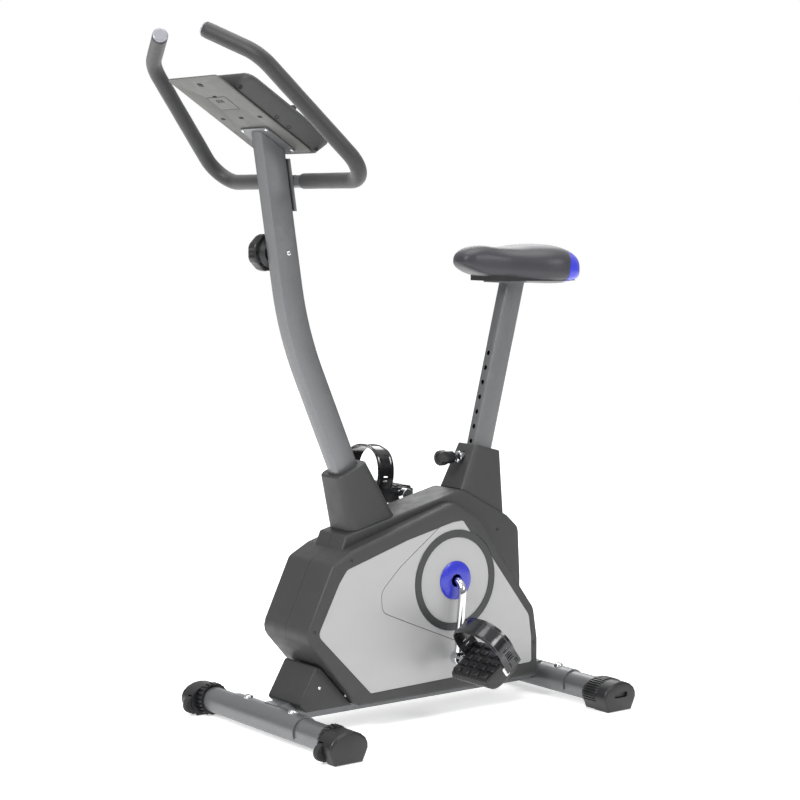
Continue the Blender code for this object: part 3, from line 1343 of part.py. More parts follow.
def build_strap(name, sign, pitch, offset, rise, y, z):
    """Foot strap: a band arching over the pedal from side to side."""
    thick = 0.0030
    middle = 0.5 * (PEDAL_INNER_X + PEDAL_OUTER_X)
    half = 0.5 * (PEDAL_OUTER_X - PEDAL_INNER_X) + FIT_GAP + 0.5 * thick
    centre = [(half, 0.0080), (half, 0.0140)]
    bulge = 0.0035
    base = 0.0300
    for k in range(17):
        angle = math.radians(180.0 * k / 16)
        cos, sin = math.cos(angle), math.sin(angle)
        wide = math.copysign(abs(cos) ** 0.80, cos)
        centre.append(((half + bulge) * wide, base + (rise - base) * sin ** 0.80))
    centre += [(-half, 0.0140), (-half, 0.0080)]
    outer, inner = [], []
    for i, point in enumerate(centre):
        low = np.array(centre[max(i - 1, 0)])
        high = np.array(centre[min(i + 1, len(centre) - 1)])
        along = (high - low) / np.linalg.norm(high - low)
        normal = np.array((along[1], -along[0]))
        outer.append(tuple(np.array(point) + normal * 0.5 * thick))
        inner.append(tuple(np.array(point) - normal * 0.5 * thick))
    band = outer + list(reversed(inner))
    rings = []
    for a in (offset - 0.5 * STRAP_WIDTH, offset + 0.5 * STRAP_WIDTH):
        places = pedal_turn([(a, b) for _, b in band], pitch, y, z)
        rings.append([(sign * (middle + x), place[0], place[1])
                      for (x, _), place in zip(band, places)])
    return loft(name, rings, "black", (sign * PEDAL_INNER_X, y, z))


def build_pedals():
    """Both pedals with their straps, at opposite ends of the crank."""
    left, right = crank_ends()
    build_pedal("pedal_left", 1.0, PEDAL_PITCH_LEFT, *left)
    build_pedal("pedal_right", -1.0, PEDAL_PITCH_RIGHT, *right)
    build_strap("pedal_strap_left", 1.0, PEDAL_PITCH_LEFT, STRAP_OFFSET_LEFT,
                STRAP_RISE_LEFT, *left)
    build_strap("pedal_strap_right", -1.0, PEDAL_PITCH_RIGHT, STRAP_OFFSET_RIGHT,
                STRAP_RISE_RIGHT, *right)


# ---------------------------------------------------------------- assembly
def finish_layout():
    """Shift the whole layout so that its box is centred over the origin."""
    for body in bpy.context.scene.objects:
        body.location.y += LAYOUT_SHIFT_Y
    bpy.context.view_layer.update()


def main():
    """Build every piece of the bike."""
    clear_scene()
    build_main_frame()
    build_feet()
    build_covers()
    build_panels()
    build_lower_cover()
    build_boot()
    build_shroud()
    build_crank()
    build_crank_pulley()
    build_belt()
    build_flywheel()
    build_bearings()
    build_magnets()
    build_sensor()
    build_cable()
    build_front_post()
    build_tension_control()
    build_handlebar()
    build_grips()
    build_console()
    build_bushing()
    build_seat_post()
    build_saddle()
    build_pull_pin()
    build_pedals()
    finish_layout()


main()
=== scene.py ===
"""Upright exercise bike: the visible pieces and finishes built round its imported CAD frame.

Run it as a script. It lists its tools in the sidebar of the 3D view while it is loaded.
"""

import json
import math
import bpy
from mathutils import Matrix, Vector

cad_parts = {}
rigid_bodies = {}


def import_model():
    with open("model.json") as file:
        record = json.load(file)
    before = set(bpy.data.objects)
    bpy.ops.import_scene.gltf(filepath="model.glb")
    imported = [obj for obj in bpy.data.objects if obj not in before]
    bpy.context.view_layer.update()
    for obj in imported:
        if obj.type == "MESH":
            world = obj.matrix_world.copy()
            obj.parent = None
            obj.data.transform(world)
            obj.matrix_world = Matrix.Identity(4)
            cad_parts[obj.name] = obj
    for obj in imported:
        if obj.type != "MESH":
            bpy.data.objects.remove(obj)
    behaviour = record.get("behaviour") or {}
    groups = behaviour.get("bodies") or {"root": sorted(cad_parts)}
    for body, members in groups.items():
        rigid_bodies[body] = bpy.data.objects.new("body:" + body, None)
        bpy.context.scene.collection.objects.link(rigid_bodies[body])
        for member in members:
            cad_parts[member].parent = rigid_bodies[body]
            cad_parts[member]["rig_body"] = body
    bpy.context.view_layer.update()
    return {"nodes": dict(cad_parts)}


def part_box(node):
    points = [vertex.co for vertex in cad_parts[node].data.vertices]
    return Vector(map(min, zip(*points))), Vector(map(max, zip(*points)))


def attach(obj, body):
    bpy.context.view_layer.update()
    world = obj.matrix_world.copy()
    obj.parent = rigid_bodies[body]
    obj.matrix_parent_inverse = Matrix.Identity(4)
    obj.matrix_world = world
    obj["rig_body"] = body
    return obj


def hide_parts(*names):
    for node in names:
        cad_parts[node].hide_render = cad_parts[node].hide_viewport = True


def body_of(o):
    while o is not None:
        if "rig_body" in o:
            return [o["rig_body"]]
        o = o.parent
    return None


bl_info = {
    "name": "Exercise Bike",
    "version": (1, 0, 0),
    "blender": (4, 5, 0),
    "location": "View3D > Sidebar > Bike",
    "description": "Builds the saddle, pedals, grips, console and finishes of an exercise bike",
    "category": "Object",
}

import bmesh
import bpy
import numpy as np
from mathutils import Matrix, Vector

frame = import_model()


# ------------------------------------------------------------------ measures
def middle_of(node):
    """Centre of a node's box."""
    low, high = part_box(node)
    return np.array((low + high) * 0.5)


HUB = middle_of("hub_cap_left") * (0.0, 1.0, 1.0)      # a point on the crank's axis
SHIFT = HUB[1] - 0.097                                 # the layout's place along Y
CRANK_LENGTH = 0.148
CRANK_ANGLE = math.radians(5.0)
CONSOLE_TILT = math.radians(32.5)
CONSOLE_ORIGIN = np.array((0.0, -0.291 + SHIFT, 1.115))
KNOB_AXIS = middle_of("tension_knob")
COVER_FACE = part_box("cover_left")[1].x
STABILIZER_Z = 0.031                                   # the stabilizers' middle
COLLAR = np.array((0.0415, 0.0290))                    # a rear cap's collar, half across and up


def linear(code):
    """Linear colour of an sRGB hex code: each channel to the power the standard gives."""
    channels = np.array([int(code[k:k + 2], 16) for k in (1, 3, 5)]) / 255.0
    low = channels / 12.92
    high = ((channels + 0.055) / 1.055) ** 2.4
    return (*np.where(channels <= 0.04045, low, high).tolist(), 1.0)


# ------------------------------------------------------------------ settings
class BikeColours(bpy.types.PropertyGroup):
    """Colours of the bike's main finishes."""
    steel: bpy.props.FloatVectorProperty(
        name="Steel paint", description="Metallic grey of the posts and floor tubes",
        subtype="COLOR", size=4, min=0.0, max=1.0, default=linear("#6c6d6f"))
    cover: bpy.props.FloatVectorProperty(
        name="Covers", description="Dark grey of the moulded covers",
        subtype="COLOR", size=4, min=0.0, max=1.0, default=linear("#2e2f2e"))
    panel: bpy.props.FloatVectorProperty(
        name="Side panels", description="Silver paint of the side panels",
        subtype="COLOR", size=4, min=0.0, max=1.0, default=linear("#a2a2a2"))
    accent: bpy.props.FloatVectorProperty(
        name="Accent", description="Blue of the hub and the saddle's tail",
        subtype="COLOR", size=4, min=0.0, max=1.0, default=linear("#2a2fae"))
    vinyl: bpy.props.FloatVectorProperty(
        name="Saddle vinyl", description="Charcoal of the saddle's cover",
        subtype="COLOR", size=4, min=0.0, max=1.0, default=linear("#2b2a30"))


class BikeSizes(bpy.types.PropertyGroup):
    """Sizes of the details added to the frame."""
    edge: bpy.props.FloatProperty(
        name="Edge rounding", description="Rounding of moulded and pressed edges",
        subtype="DISTANCE", unit="LENGTH", default=0.0006, min=0.0, max=0.002)
    tread_pitch: bpy.props.FloatProperty(
        name="Tread pitch", description="Spacing of the pedal's tread blocks, front to back",
        subtype="DISTANCE", unit="LENGTH", default=0.0165, min=0.008, max=0.03)
    tread_height: bpy.props.FloatProperty(
        name="Tread height", description="How far the tread blocks stand above the pedal",
        subtype="DISTANCE", unit="LENGTH", default=0.0034, min=0.001, max=0.005)
    grip_radius: bpy.props.FloatProperty(
        name="Grip radius", description="Radius of the foam sleeves",
        subtype="DISTANCE", unit="LENGTH", default=0.0145, min=0.013, max=0.016)
    pad_swell: bpy.props.FloatProperty(
        name="Pad swell", description="The most that the padding may bulge",
        subtype="DISTANCE", unit="LENGTH", default=0.0016, min=0.0, max=0.016)


# ------------------------------------------------------------------ surfaces
def unit(vector):
    """Vectors scaled to length one."""
    vector = np.asarray(vector, float)
    return vector / np.linalg.norm(vector, axis=-1, keepdims=True)


def filleted(corners, steps=12):
    """Path of straight runs joined by arcs: at each corner (x, y, z, radius) the arc's
    centre lies on the bisector, radius / cos(turn / 2) from the corner."""
    points = np.array([corner[:3] for corner in corners], float)
    path = [points[:1]]
    for k in range(1, len(corners) - 1):
        before = unit(points[k] - points[k - 1])
        after = unit(points[k + 1] - points[k])
        turn = math.acos(float(np.clip(before @ after, -1.0, 1.0)))
        radius = corners[k][3]
        start = points[k] - before * radius * math.tan(0.5 * turn)
        middle = points[k] + unit(after - before) * radius / math.cos(0.5 * turn)
        angle = np.linspace(0.0, turn, steps)[:, None]
        path.append(middle + (start - middle) * np.cos(angle) + before * radius * np.sin(angle))
    path.append(points[-1:])
    return np.vstack(path)


def respaced(path, spacing):
    """The same path with points at even distances along it."""
    run = np.concatenate([[0.0], np.cumsum(np.linalg.norm(np.diff(path, axis=0), axis=1))])
    count = max(3, int(round(run[-1] / spacing)) + 1)
    wanted = np.linspace(0.0, run[-1], count)
    return np.stack([np.interp(wanted, run, path[:, k]) for k in range(path.shape[1])], axis=-1)


def through(knots, count):
    """Catmull-Rom curve through the knots: a cubic between each pair whose slope at a
    knot is half the step between its neighbours."""
    knots = np.asarray(knots, float)
    rows = np.vstack([2 * knots[0] - knots[1], knots, 2 * knots[-1] - knots[-2]])
    place = np.linspace(0.0, len(knots) - 1 - 1e-9, count)
    first = place.astype(int)
    t = (place - first)[:, None]
    p0, p1, p2, p3 = (rows[first + k] for k in range(4))
    return 0.5 * (2 * p1 + (p2 - p0) * t + (2 * p0 - 5 * p1 + 4 * p2 - p3) * t ** 2
                  + (3 * p1 - p0 - 3 * p2 + p3) * t ** 3)


def circle(radius, count):
    """Circle in the section plane: (radius cos, radius sin)."""
    angle = np.linspace(0.0, 2.0 * np.pi, count, endpoint=False)
    return radius * np.stack([np.cos(angle), np.sin(angle)], axis=-1)


def swept(path, section, side):
    """Section (across, up) carried along a path: point = path + across * side + up * normal,
    where the side is kept square to the path's direction."""
    along = unit(np.gradient(path, axis=0))
    side = np.broadcast_to(np.asarray(side, float), along.shape)
    side = unit(side - along * np.sum(side * along, axis=1, keepdims=True))
    normal = np.cross(along, side)
    return (path[:, None, :] + section[..., 0:1] * side[:, None, :]
            + section[..., 1:2] * normal[:, None, :])


def turned(profile, centre, axis, count=48, wave=None):
    """Surface of revolution: each (along, radius) row of the profile goes once round the
    axis. A wave is a function of the angle that is taken off the radius."""
    profile = np.asarray(profile, float)
    axis = unit(axis)
    helper = np.array((0.0, 0.0, 1.0)) if abs(axis[2]) < 0.9 else np.array((0.0, 1.0, 0.0))
    across = unit(np.cross(helper, axis))
    other = np.cross(axis, across)
    angle = np.linspace(0.0, 2.0 * np.pi, count, endpoint=False)
    radius = np.broadcast_to(profile[:, 1:2], (len(profile), count)).copy()
    if wave is not None:
        radius -= wave(profile[:, 0:1], angle[None, :])
    return (np.asarray(centre, float) + profile[:, 0, None, None] * axis
            + radius[..., None] * (np.cos(angle)[None, :, None] * across
                                   + np.sin(angle)[None, :, None] * other))


def grid_faces(rows, columns, first):
    """Quads of a grid whose columns close on themselves, with its two end caps."""
    index = first + np.arange(rows * columns).reshape(rows, columns)
    low, high = index[:-1], index[1:]
    quads = np.stack([low, np.roll(low, -1, 1), np.roll(high, -1, 1), high], axis=-1)
    return quads.reshape(-1, 4).tolist() + [index[0][::-1].tolist(), index[-1].tolist()]


def make_piece(name, grids, smooth=35.0):
    """One mesh of closed shells, each a grid of points with rows along it and columns round
    it. A row of equal points becomes a pole."""
    points, faces, first = [], [], 0
    for grid in grids:
        points.append(grid.reshape(-1, 3))
        faces += grid_faces(grid.shape[0], grid.shape[1], first)
        first += grid.shape[0] * grid.shape[1]
    mesh = bpy.data.meshes.new(name)
    mesh.from_pydata(np.vstack(points).tolist(), [], faces)
    body = bmesh.new()
    body.from_mesh(mesh)
    bmesh.ops.remove_doubles(body, verts=body.verts, dist=1e-6)
    bmesh.ops.recalc_face_normals(body, faces=body.faces)
    body.to_mesh(mesh)
    body.free()
    return add_object(name, mesh, smooth)


def add_object(name, mesh, smooth):
    """Puts a mesh in the scene with its faces smooth up to an angle in degrees."""
    mesh.shade_smooth()
    mesh.set_sharp_from_angle(angle=math.radians(smooth))
    piece = bpy.data.objects.new(name, mesh)
    bpy.context.scene.collection.objects.link(piece)
    return piece


def carve(piece, cutters):
    """Cuts closed shells out of a piece and applies the cut."""
    tool = make_piece("cutter", cutters)
    change = piece.modifiers.new("cut", "BOOLEAN")
    change.operation = "DIFFERENCE"
    change.solver = "EXACT"
    change.object = tool
    apply_modifiers(piece)
    bpy.data.objects.remove(tool)
    piece.data.set_sharp_from_angle(angle=math.radians(35.0))


def apply_modifiers(piece):
    """Replaces a piece's mesh with what its modifiers make."""
    graph = bpy.context.evaluated_depsgraph_get()
    graph.update()
    mesh = bpy.data.meshes.new_from_object(piece.evaluated_get(graph))
    piece.modifiers.clear()
    piece.data = mesh


def rounded(piece, width, angle=35.0, segments=2):
    """Rounds a piece's sharp edges by a width in metres."""
    if width > 0.0:
        bevel = piece.modifiers.new("edges", "BEVEL")
        bevel.width = width
        bevel.segments = segments
        bevel.limit_method = "ANGLE"
        bevel.angle_limit = math.radians(angle)
        bevel.harden_normals = True
    return piece


def joined_copy(node):
    """Copy of a CAD node with its triangles merged and its flat faces made whole."""
    mesh = bpy.data.meshes.new(node + "_skin")
    body = bmesh.new()
    body.from_mesh(frame["nodes"][node].data)
    bmesh.ops.remove_doubles(body, verts=body.verts, dist=2e-6)
    bmesh.ops.dissolve_limit(body, angle_limit=math.radians(0.6), verts=body.verts,
                             edges=body.edges)
    body.to_mesh(mesh)
    body.free()
    for layer in ("custom_normal", "sharp_face", "sharp_edge"):
        if layer in mesh.attributes:
            mesh.attributes.remove(mesh.attributes[layer])
    mesh.materials.clear()
    return mesh


def ride_with(piece, node, finish):
    """Gives a piece its finish and slot, and the body that a CAD node rides on."""
    piece.data.materials.clear()
    piece.data.materials.append(finish)
    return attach(piece, body_of(frame["nodes"][node])[0])


def skin(node, finish, edge=None, smooth=35.0):
    """Stands a smooth, edge-rounded copy in a CAD node's place."""
    piece = add_object(node + "_skin", joined_copy(node), smooth)
    ride_with(piece, node, finish)
    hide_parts(node)
    width = bpy.context.scene.bike_sizes.edge if edge is None else edge
    return rounded(piece, width, smooth)


def new_piece(name, grids, node, finish, replaces=(), smooth=35.0, edge=0.0):
    """Makes a piece from grids and hangs it on a CAD node's body."""
    piece = make_piece(name, grids, smooth)
    ride_with(piece, node, finish)
    if replaces:
        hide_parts(*replaces)
    return rounded(piece, edge, smooth)


# ------------------------------------------------------------------ materials
def add_node(tree, kind, values=None, **settings):
    """Adds a node: settings are its attributes, values its inputs by name or number. An
    output given as a value is linked."""
    node = tree.nodes.new(kind)
    for key, value in settings.items():
        setattr(node, key, value)
    for key, value in (values or {}).items():
        if isinstance(value, bpy.types.NodeSocket):
            tree.links.new(value, node.inputs[key])
        else:
            node.inputs[key].default_value = value
    return node


def shaded(colour, factor):
    """A colour made lighter or darker."""
    return (*[min(1.0, max(0.0, channel * factor)) for channel in colour[:3]], 1.0)


def start_material(name):
    """An empty material with its shader, and the Object coordinates that it reads."""
    material = bpy.data.materials.new(name)
    material.use_nodes = True
    tree = material.node_tree
    tree.nodes.clear()
    shader = add_node(tree, "ShaderNodeBsdfPrincipled")
    add_node(tree, "ShaderNodeOutputMaterial", {"Surface": shader.outputs["BSDF"]})
    place = add_node(tree, "ShaderNodeTexCoord").outputs["Object"]
    return material, tree, shader, place


def grained(name, colour, roughness, grain, depth, tone=0.07, marks=0.07, metallic=0.0,
            ior=1.5, coat=0.0, coat_roughness=0.1, sheen=0.0, fleck=0.0):
    """Finish with a fine grain (its size and depth in mm), a slow drift of tone, faint
    handling marks in the gloss and, where asked, bright flecks as in metallic paint."""
    material, tree, shader, place = start_material(name)
    fine = add_node(tree, "ShaderNodeTexNoise",
                    {"Vector": place, "Scale": 1000.0 / grain, "Detail": 2.0})
    slow = add_node(tree, "ShaderNodeTexNoise",
                    {"Vector": place, "Scale": 9.0, "Detail": 3.0, "Roughness": 0.6})
    rubbed = add_node(tree, "ShaderNodeTexNoise",
                      {"Vector": place, "Scale": 38.0, "Detail": 5.0, "Roughness": 0.65})
    ramp = add_node(tree, "ShaderNodeMix", {"Factor": slow.outputs["Fac"]}, data_type="RGBA")
    ramp.inputs[6].default_value = shaded(colour, 1.0 - tone)
    ramp.inputs[7].default_value = shaded(colour, 1.0 + tone)
    tint = ramp.outputs[2]
    if fleck > 0.0:
        spots = add_node(tree, "ShaderNodeMapRange",
                         {"Value": fine.outputs["Fac"], "From Min": 0.42, "From Max": 0.70,
                          "To Min": 0.0, "To Max": fleck})
        bright = add_node(tree, "ShaderNodeMix", {"Factor": spots.outputs[0]},
                          data_type="RGBA")
        bright.inputs[7].default_value = shaded(colour, 1.9)
        tree.links.new(tint, bright.inputs[6])
        tint = bright.outputs[2]
    tree.links.new(tint, shader.inputs["Base Color"])
    gloss = add_node(tree, "ShaderNodeMapRange",
                     {"Value": rubbed.outputs["Fac"], "From Min": 0.30, "From Max": 0.72,
                      "To Min": max(0.02, roughness - marks), "To Max": roughness + marks})
    tree.links.new(gloss.outputs[0], shader.inputs["Roughness"])
    if depth > 0.0:
        bump = add_node(tree, "ShaderNodeBump",
                        {"Height": fine.outputs["Fac"], "Strength": 0.6,
                         "Distance": depth * 0.001})
        tree.links.new(bump.outputs["Normal"], shader.inputs["Normal"])
    shader.inputs["Metallic"].default_value = metallic
    shader.inputs["IOR"].default_value = ior
    shader.inputs["Coat Weight"].default_value = coat
    shader.inputs["Coat Roughness"].default_value = coat_roughness
    shader.inputs["Sheen Weight"].default_value = sheen
    return material


def vinyl_two_tone(name, vinyl, tail):
    """Upholstery vinyl over foam: a pebble grain of small cells 2.6 mm across, drawn a
    little coarser than life so that it shows. Behind a curved seam the cover is smooth
    glossy blue, pointed at the top like a drop. Along the seam, painted shade darkens its groove."""
    material, tree, shader, place = start_material(name)
    cells = add_node(tree, "ShaderNodeTexVoronoi",
                     {"Vector": place, "Scale": 1000.0 / 2.6, "Randomness": 0.9},
                     feature="SMOOTH_F1")
    creases = add_node(tree, "ShaderNodeTexNoise",
                       {"Vector": place, "Scale": 120.0, "Detail": 4.0})
    slow = add_node(tree, "ShaderNodeTexNoise", {"Vector": place, "Scale": 11.0, "Detail": 2.0})
    split = add_node(tree, "ShaderNodeSeparateXYZ", {"Vector": place})
    low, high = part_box("saddle_pad")
    seam_y = high.y - 0.0582
    # how far behind the seam a point lies: the seam bows forward low down on the side
    lift = add_node(tree, "ShaderNodeMath", {0: split.outputs["Z"], 1: low.z + 0.022},
                    operation="SUBTRACT")
    lift2 = add_node(tree, "ShaderNodeMath", {0: lift.outputs[0], 1: lift.outputs[0]},
                     operation="MULTIPLY")
    sway = add_node(tree, "ShaderNodeMath", {0: lift2.outputs[0], 1: 6.8}, operation="MULTIPLY")
    line = add_node(tree, "ShaderNodeMath", {0: sway.outputs[0], 1: seam_y}, operation="ADD")
    behind = add_node(tree, "ShaderNodeMath", {0: split.outputs["Y"], 1: line.outputs[0]},
                      operation="SUBTRACT")
    # the drop's upper edge falls as it goes round the back, and its foot is level
    reach = add_node(tree, "ShaderNodeMapRange",
                     {"Value": split.outputs["Y"], "From Min": seam_y, "From Max": high.y,
                      "To Min": low.z + 0.0690, "To Max": low.z + 0.0540})
    under = add_node(tree, "ShaderNodeMath", {0: reach.outputs[0], 1: split.outputs["Z"]},
                     operation="SUBTRACT")
    above = add_node(tree, "ShaderNodeMath", {0: split.outputs["Z"], 1: low.z + 0.0035},
                     operation="SUBTRACT")
    edge = add_node(tree, "ShaderNodeMath", {0: behind.outputs[0], 1: under.outputs[0]},
                    operation="MINIMUM")
    edge = add_node(tree, "ShaderNodeMath", {0: edge.outputs[0], 1: above.outputs[0]},
                    operation="MINIMUM")
    mask = add_node(tree, "ShaderNodeMapRange",
                    {"Value": edge.outputs[0], "From Min": -0.0003, "From Max": 0.0003})
    away = add_node(tree, "ShaderNodeMath", {0: edge.outputs[0]}, operation="ABSOLUTE")
    # the seam's groove, 1.6 mm either side of its line: it dents the surface and carries painted
    # shade
    groove = add_node(tree, "ShaderNodeMapRange",
                      {"Value": away.outputs[0], "From Min": 0.0, "From Max": 0.0016})
    tone = add_node(tree, "ShaderNodeMix", {"Factor": slow.outputs["Fac"]}, data_type="RGBA")
    tone.inputs[6].default_value = shaded(vinyl, 0.88)
    tone.inputs[7].default_value = shaded(vinyl, 1.12)
    body = add_node(tree, "ShaderNodeMix", {"Factor": mask.outputs[0]}, data_type="RGBA")
    tree.links.new(tone.outputs[2], body.inputs[6])
    body.inputs[7].default_value = shaded(tail, 1.25)
    # painted shade: in the seam's groove the vinyl darkens to a quarter of its colour
    dark = add_node(tree, "ShaderNodeMix", {"Factor": groove.outputs[0]}, data_type="RGBA")
    dark.inputs[6].default_value = shaded(vinyl, 0.25)
    tree.links.new(body.outputs[2], dark.inputs[7])
    tree.links.new(dark.outputs[2], shader.inputs["Base Color"])
    gloss = add_node(tree, "ShaderNodeMapRange",
                     {"Value": mask.outputs[0], "To Min": 0.44, "To Max": 0.22})
    tree.links.new(gloss.outputs[0], shader.inputs["Roughness"])
    pebble = add_node(tree, "ShaderNodeMath", {0: cells.outputs["Distance"], 1: 0.5},
                      operation="MULTIPLY")
    relief = add_node(tree, "ShaderNodeMath", {0: pebble.outputs[0],
                                               1: creases.outputs["Fac"]}, operation="ADD")
    smooth = add_node(tree, "ShaderNodeMath", {0: 1.0, 1: mask.outputs[0]},
                      operation="SUBTRACT")
    relief = add_node(tree, "ShaderNodeMath", {0: relief.outputs[0], 1: smooth.outputs[0]},
                      operation="MULTIPLY")
    bump = add_node(tree, "ShaderNodeBump", {"Height": relief.outputs[0], "Strength": 0.5,
                                             "Distance": 0.00025})
    sewn = add_node(tree, "ShaderNodeBump",
                    {"Height": groove.outputs[0], "Strength": 0.9, "Distance": 0.0012,
                     "Normal": bump.outputs["Normal"]})
    tree.links.new(sewn.outputs["Normal"], shader.inputs["Normal"])
    shader.inputs["IOR"].default_value = 1.52
    shader.inputs["Sheen Weight"].default_value = 0.15
    shader.inputs["Sheen Roughness"].default_value = 0.4
    return material


def turned_steel(name, colour, centre, roughness):
    """Lathe-turned metal: rings 1.6 mm apart round the axle, coarser than the tool's real
    marks so that they show, with a little drift in the gloss."""
    material, tree, shader, place = start_material(name)
    shifted = add_node(tree, "ShaderNodeMapping",
                       {"Vector": place, "Location": (0.0, -centre[1], -centre[2])})
    rings = add_node(tree, "ShaderNodeTexWave",
                     {"Vector": shifted.outputs["Vector"], "Scale": 100.0, "Distortion": 0.4},
                     wave_type="RINGS", rings_direction="X")
    slow = add_node(tree, "ShaderNodeTexNoise", {"Vector": place, "Scale": 25.0})
    tone = add_node(tree, "ShaderNodeMix", {"Factor": rings.outputs["Fac"]}, data_type="RGBA")
    tone.inputs[6].default_value = shaded(colour, 0.85)
    tone.inputs[7].default_value = shaded(colour, 1.1)
    tree.links.new(tone.outputs[2], shader.inputs["Base Color"])
    gloss = add_node(tree, "ShaderNodeMapRange",
                     {"Value": slow.outputs["Fac"], "To Min": roughness - 0.08,
                      "To Max": roughness + 0.08})
    tree.links.new(gloss.outputs[0], shader.inputs["Roughness"])
    bump = add_node(tree, "ShaderNodeBump", {"Height": rings.outputs["Fac"], "Strength": 0.3,
                                             "Distance": 0.00008})
    tree.links.new(bump.outputs["Normal"], shader.inputs["Normal"])
    shader.inputs["Metallic"].default_value = 1.0
    return material


def reflector_plastic(name):
    """Moulded acrylic reflector: clear white prisms 2.5 mm across under a glossy face."""
    material, tree, shader, place = start_material(name)
    prisms = add_node(tree, "ShaderNodeTexVoronoi",
                      {"Vector": place, "Scale": 400.0, "Randomness": 0.0})
    tone = add_node(tree, "ShaderNodeMix", {"Factor": prisms.outputs["Distance"]},
                    data_type="RGBA")
    tone.inputs[6].default_value = linear("#f4f4f2")
    tone.inputs[7].default_value = linear("#b9bcbe")
    tree.links.new(tone.outputs[2], shader.inputs["Base Color"])
    bump = add_node(tree, "ShaderNodeBump", {"Height": prisms.outputs["Distance"],
                                             "Strength": 0.6, "Distance": 0.0004})
    tree.links.new(bump.outputs["Normal"], shader.inputs["Normal"])
    shader.inputs["Roughness"].default_value = 0.18
    shader.inputs["Coat Weight"].default_value = 0.6
    shader.inputs["Coat Roughness"].default_value = 0.05
    return material


def display_window(name):
    """Printed acrylic window over a grey-green display: a dark border with the lighter
    display area inside it, worked out from the place on the window."""
    material, tree, shader, place = start_material(name)
    centre = middle_of("console_lens")
    turn = (CONSOLE_TILT, 0.0, 0.0)
    flat = add_node(tree, "ShaderNodeMapping",
                    {"Vector": place, "Location": tuple(-centre)})
    laid = add_node(tree, "ShaderNodeMapping", {"Vector": flat.outputs["Vector"],
                                                "Rotation": turn})
    split = add_node(tree, "ShaderNodeSeparateXYZ", {"Vector": laid.outputs["Vector"]})
    wide = add_node(tree, "ShaderNodeMath", {0: split.outputs["X"]}, operation="ABSOLUTE")
    tall = add_node(tree, "ShaderNodeMath", {0: split.outputs["Y"]}, operation="ABSOLUTE")
    inner = add_node(tree, "ShaderNodeMath", {0: 0.046, 1: wide.outputs[0]},
                     operation="SUBTRACT")
    outer = add_node(tree, "ShaderNodeMath", {0: 0.026, 1: tall.outputs[0]},
                     operation="SUBTRACT")
    both = add_node(tree, "ShaderNodeMath", {0: inner.outputs[0], 1: outer.outputs[0]},
                    operation="MINIMUM")
    mask = add_node(tree, "ShaderNodeMapRange",
                    {"Value": both.outputs[0], "From Min": -0.0002, "From Max": 0.0002})
    tone = add_node(tree, "ShaderNodeMix", {"Factor": mask.outputs[0]}, data_type="RGBA")
    tone.inputs[6].default_value = linear("#17191a")
    tone.inputs[7].default_value = linear("#8b9484")
    tree.links.new(tone.outputs[2], shader.inputs["Base Color"])
    smear = add_node(tree, "ShaderNodeTexNoise", {"Vector": place, "Scale": 40.0})
    gloss = add_node(tree, "ShaderNodeMapRange", {"Value": smear.outputs["Fac"],
                                                  "To Min": 0.06, "To Max": 0.20})
    tree.links.new(gloss.outputs[0], shader.inputs["Roughness"])
    shader.inputs["Coat Weight"].default_value = 0.5
    return material


FINISHES = {}


def finish(name):
    """The finish of that name, made the first time it is asked for."""
    if name not in FINISHES:
        FINISHES[name] = make_finish(name)
    return FINISHES[name]


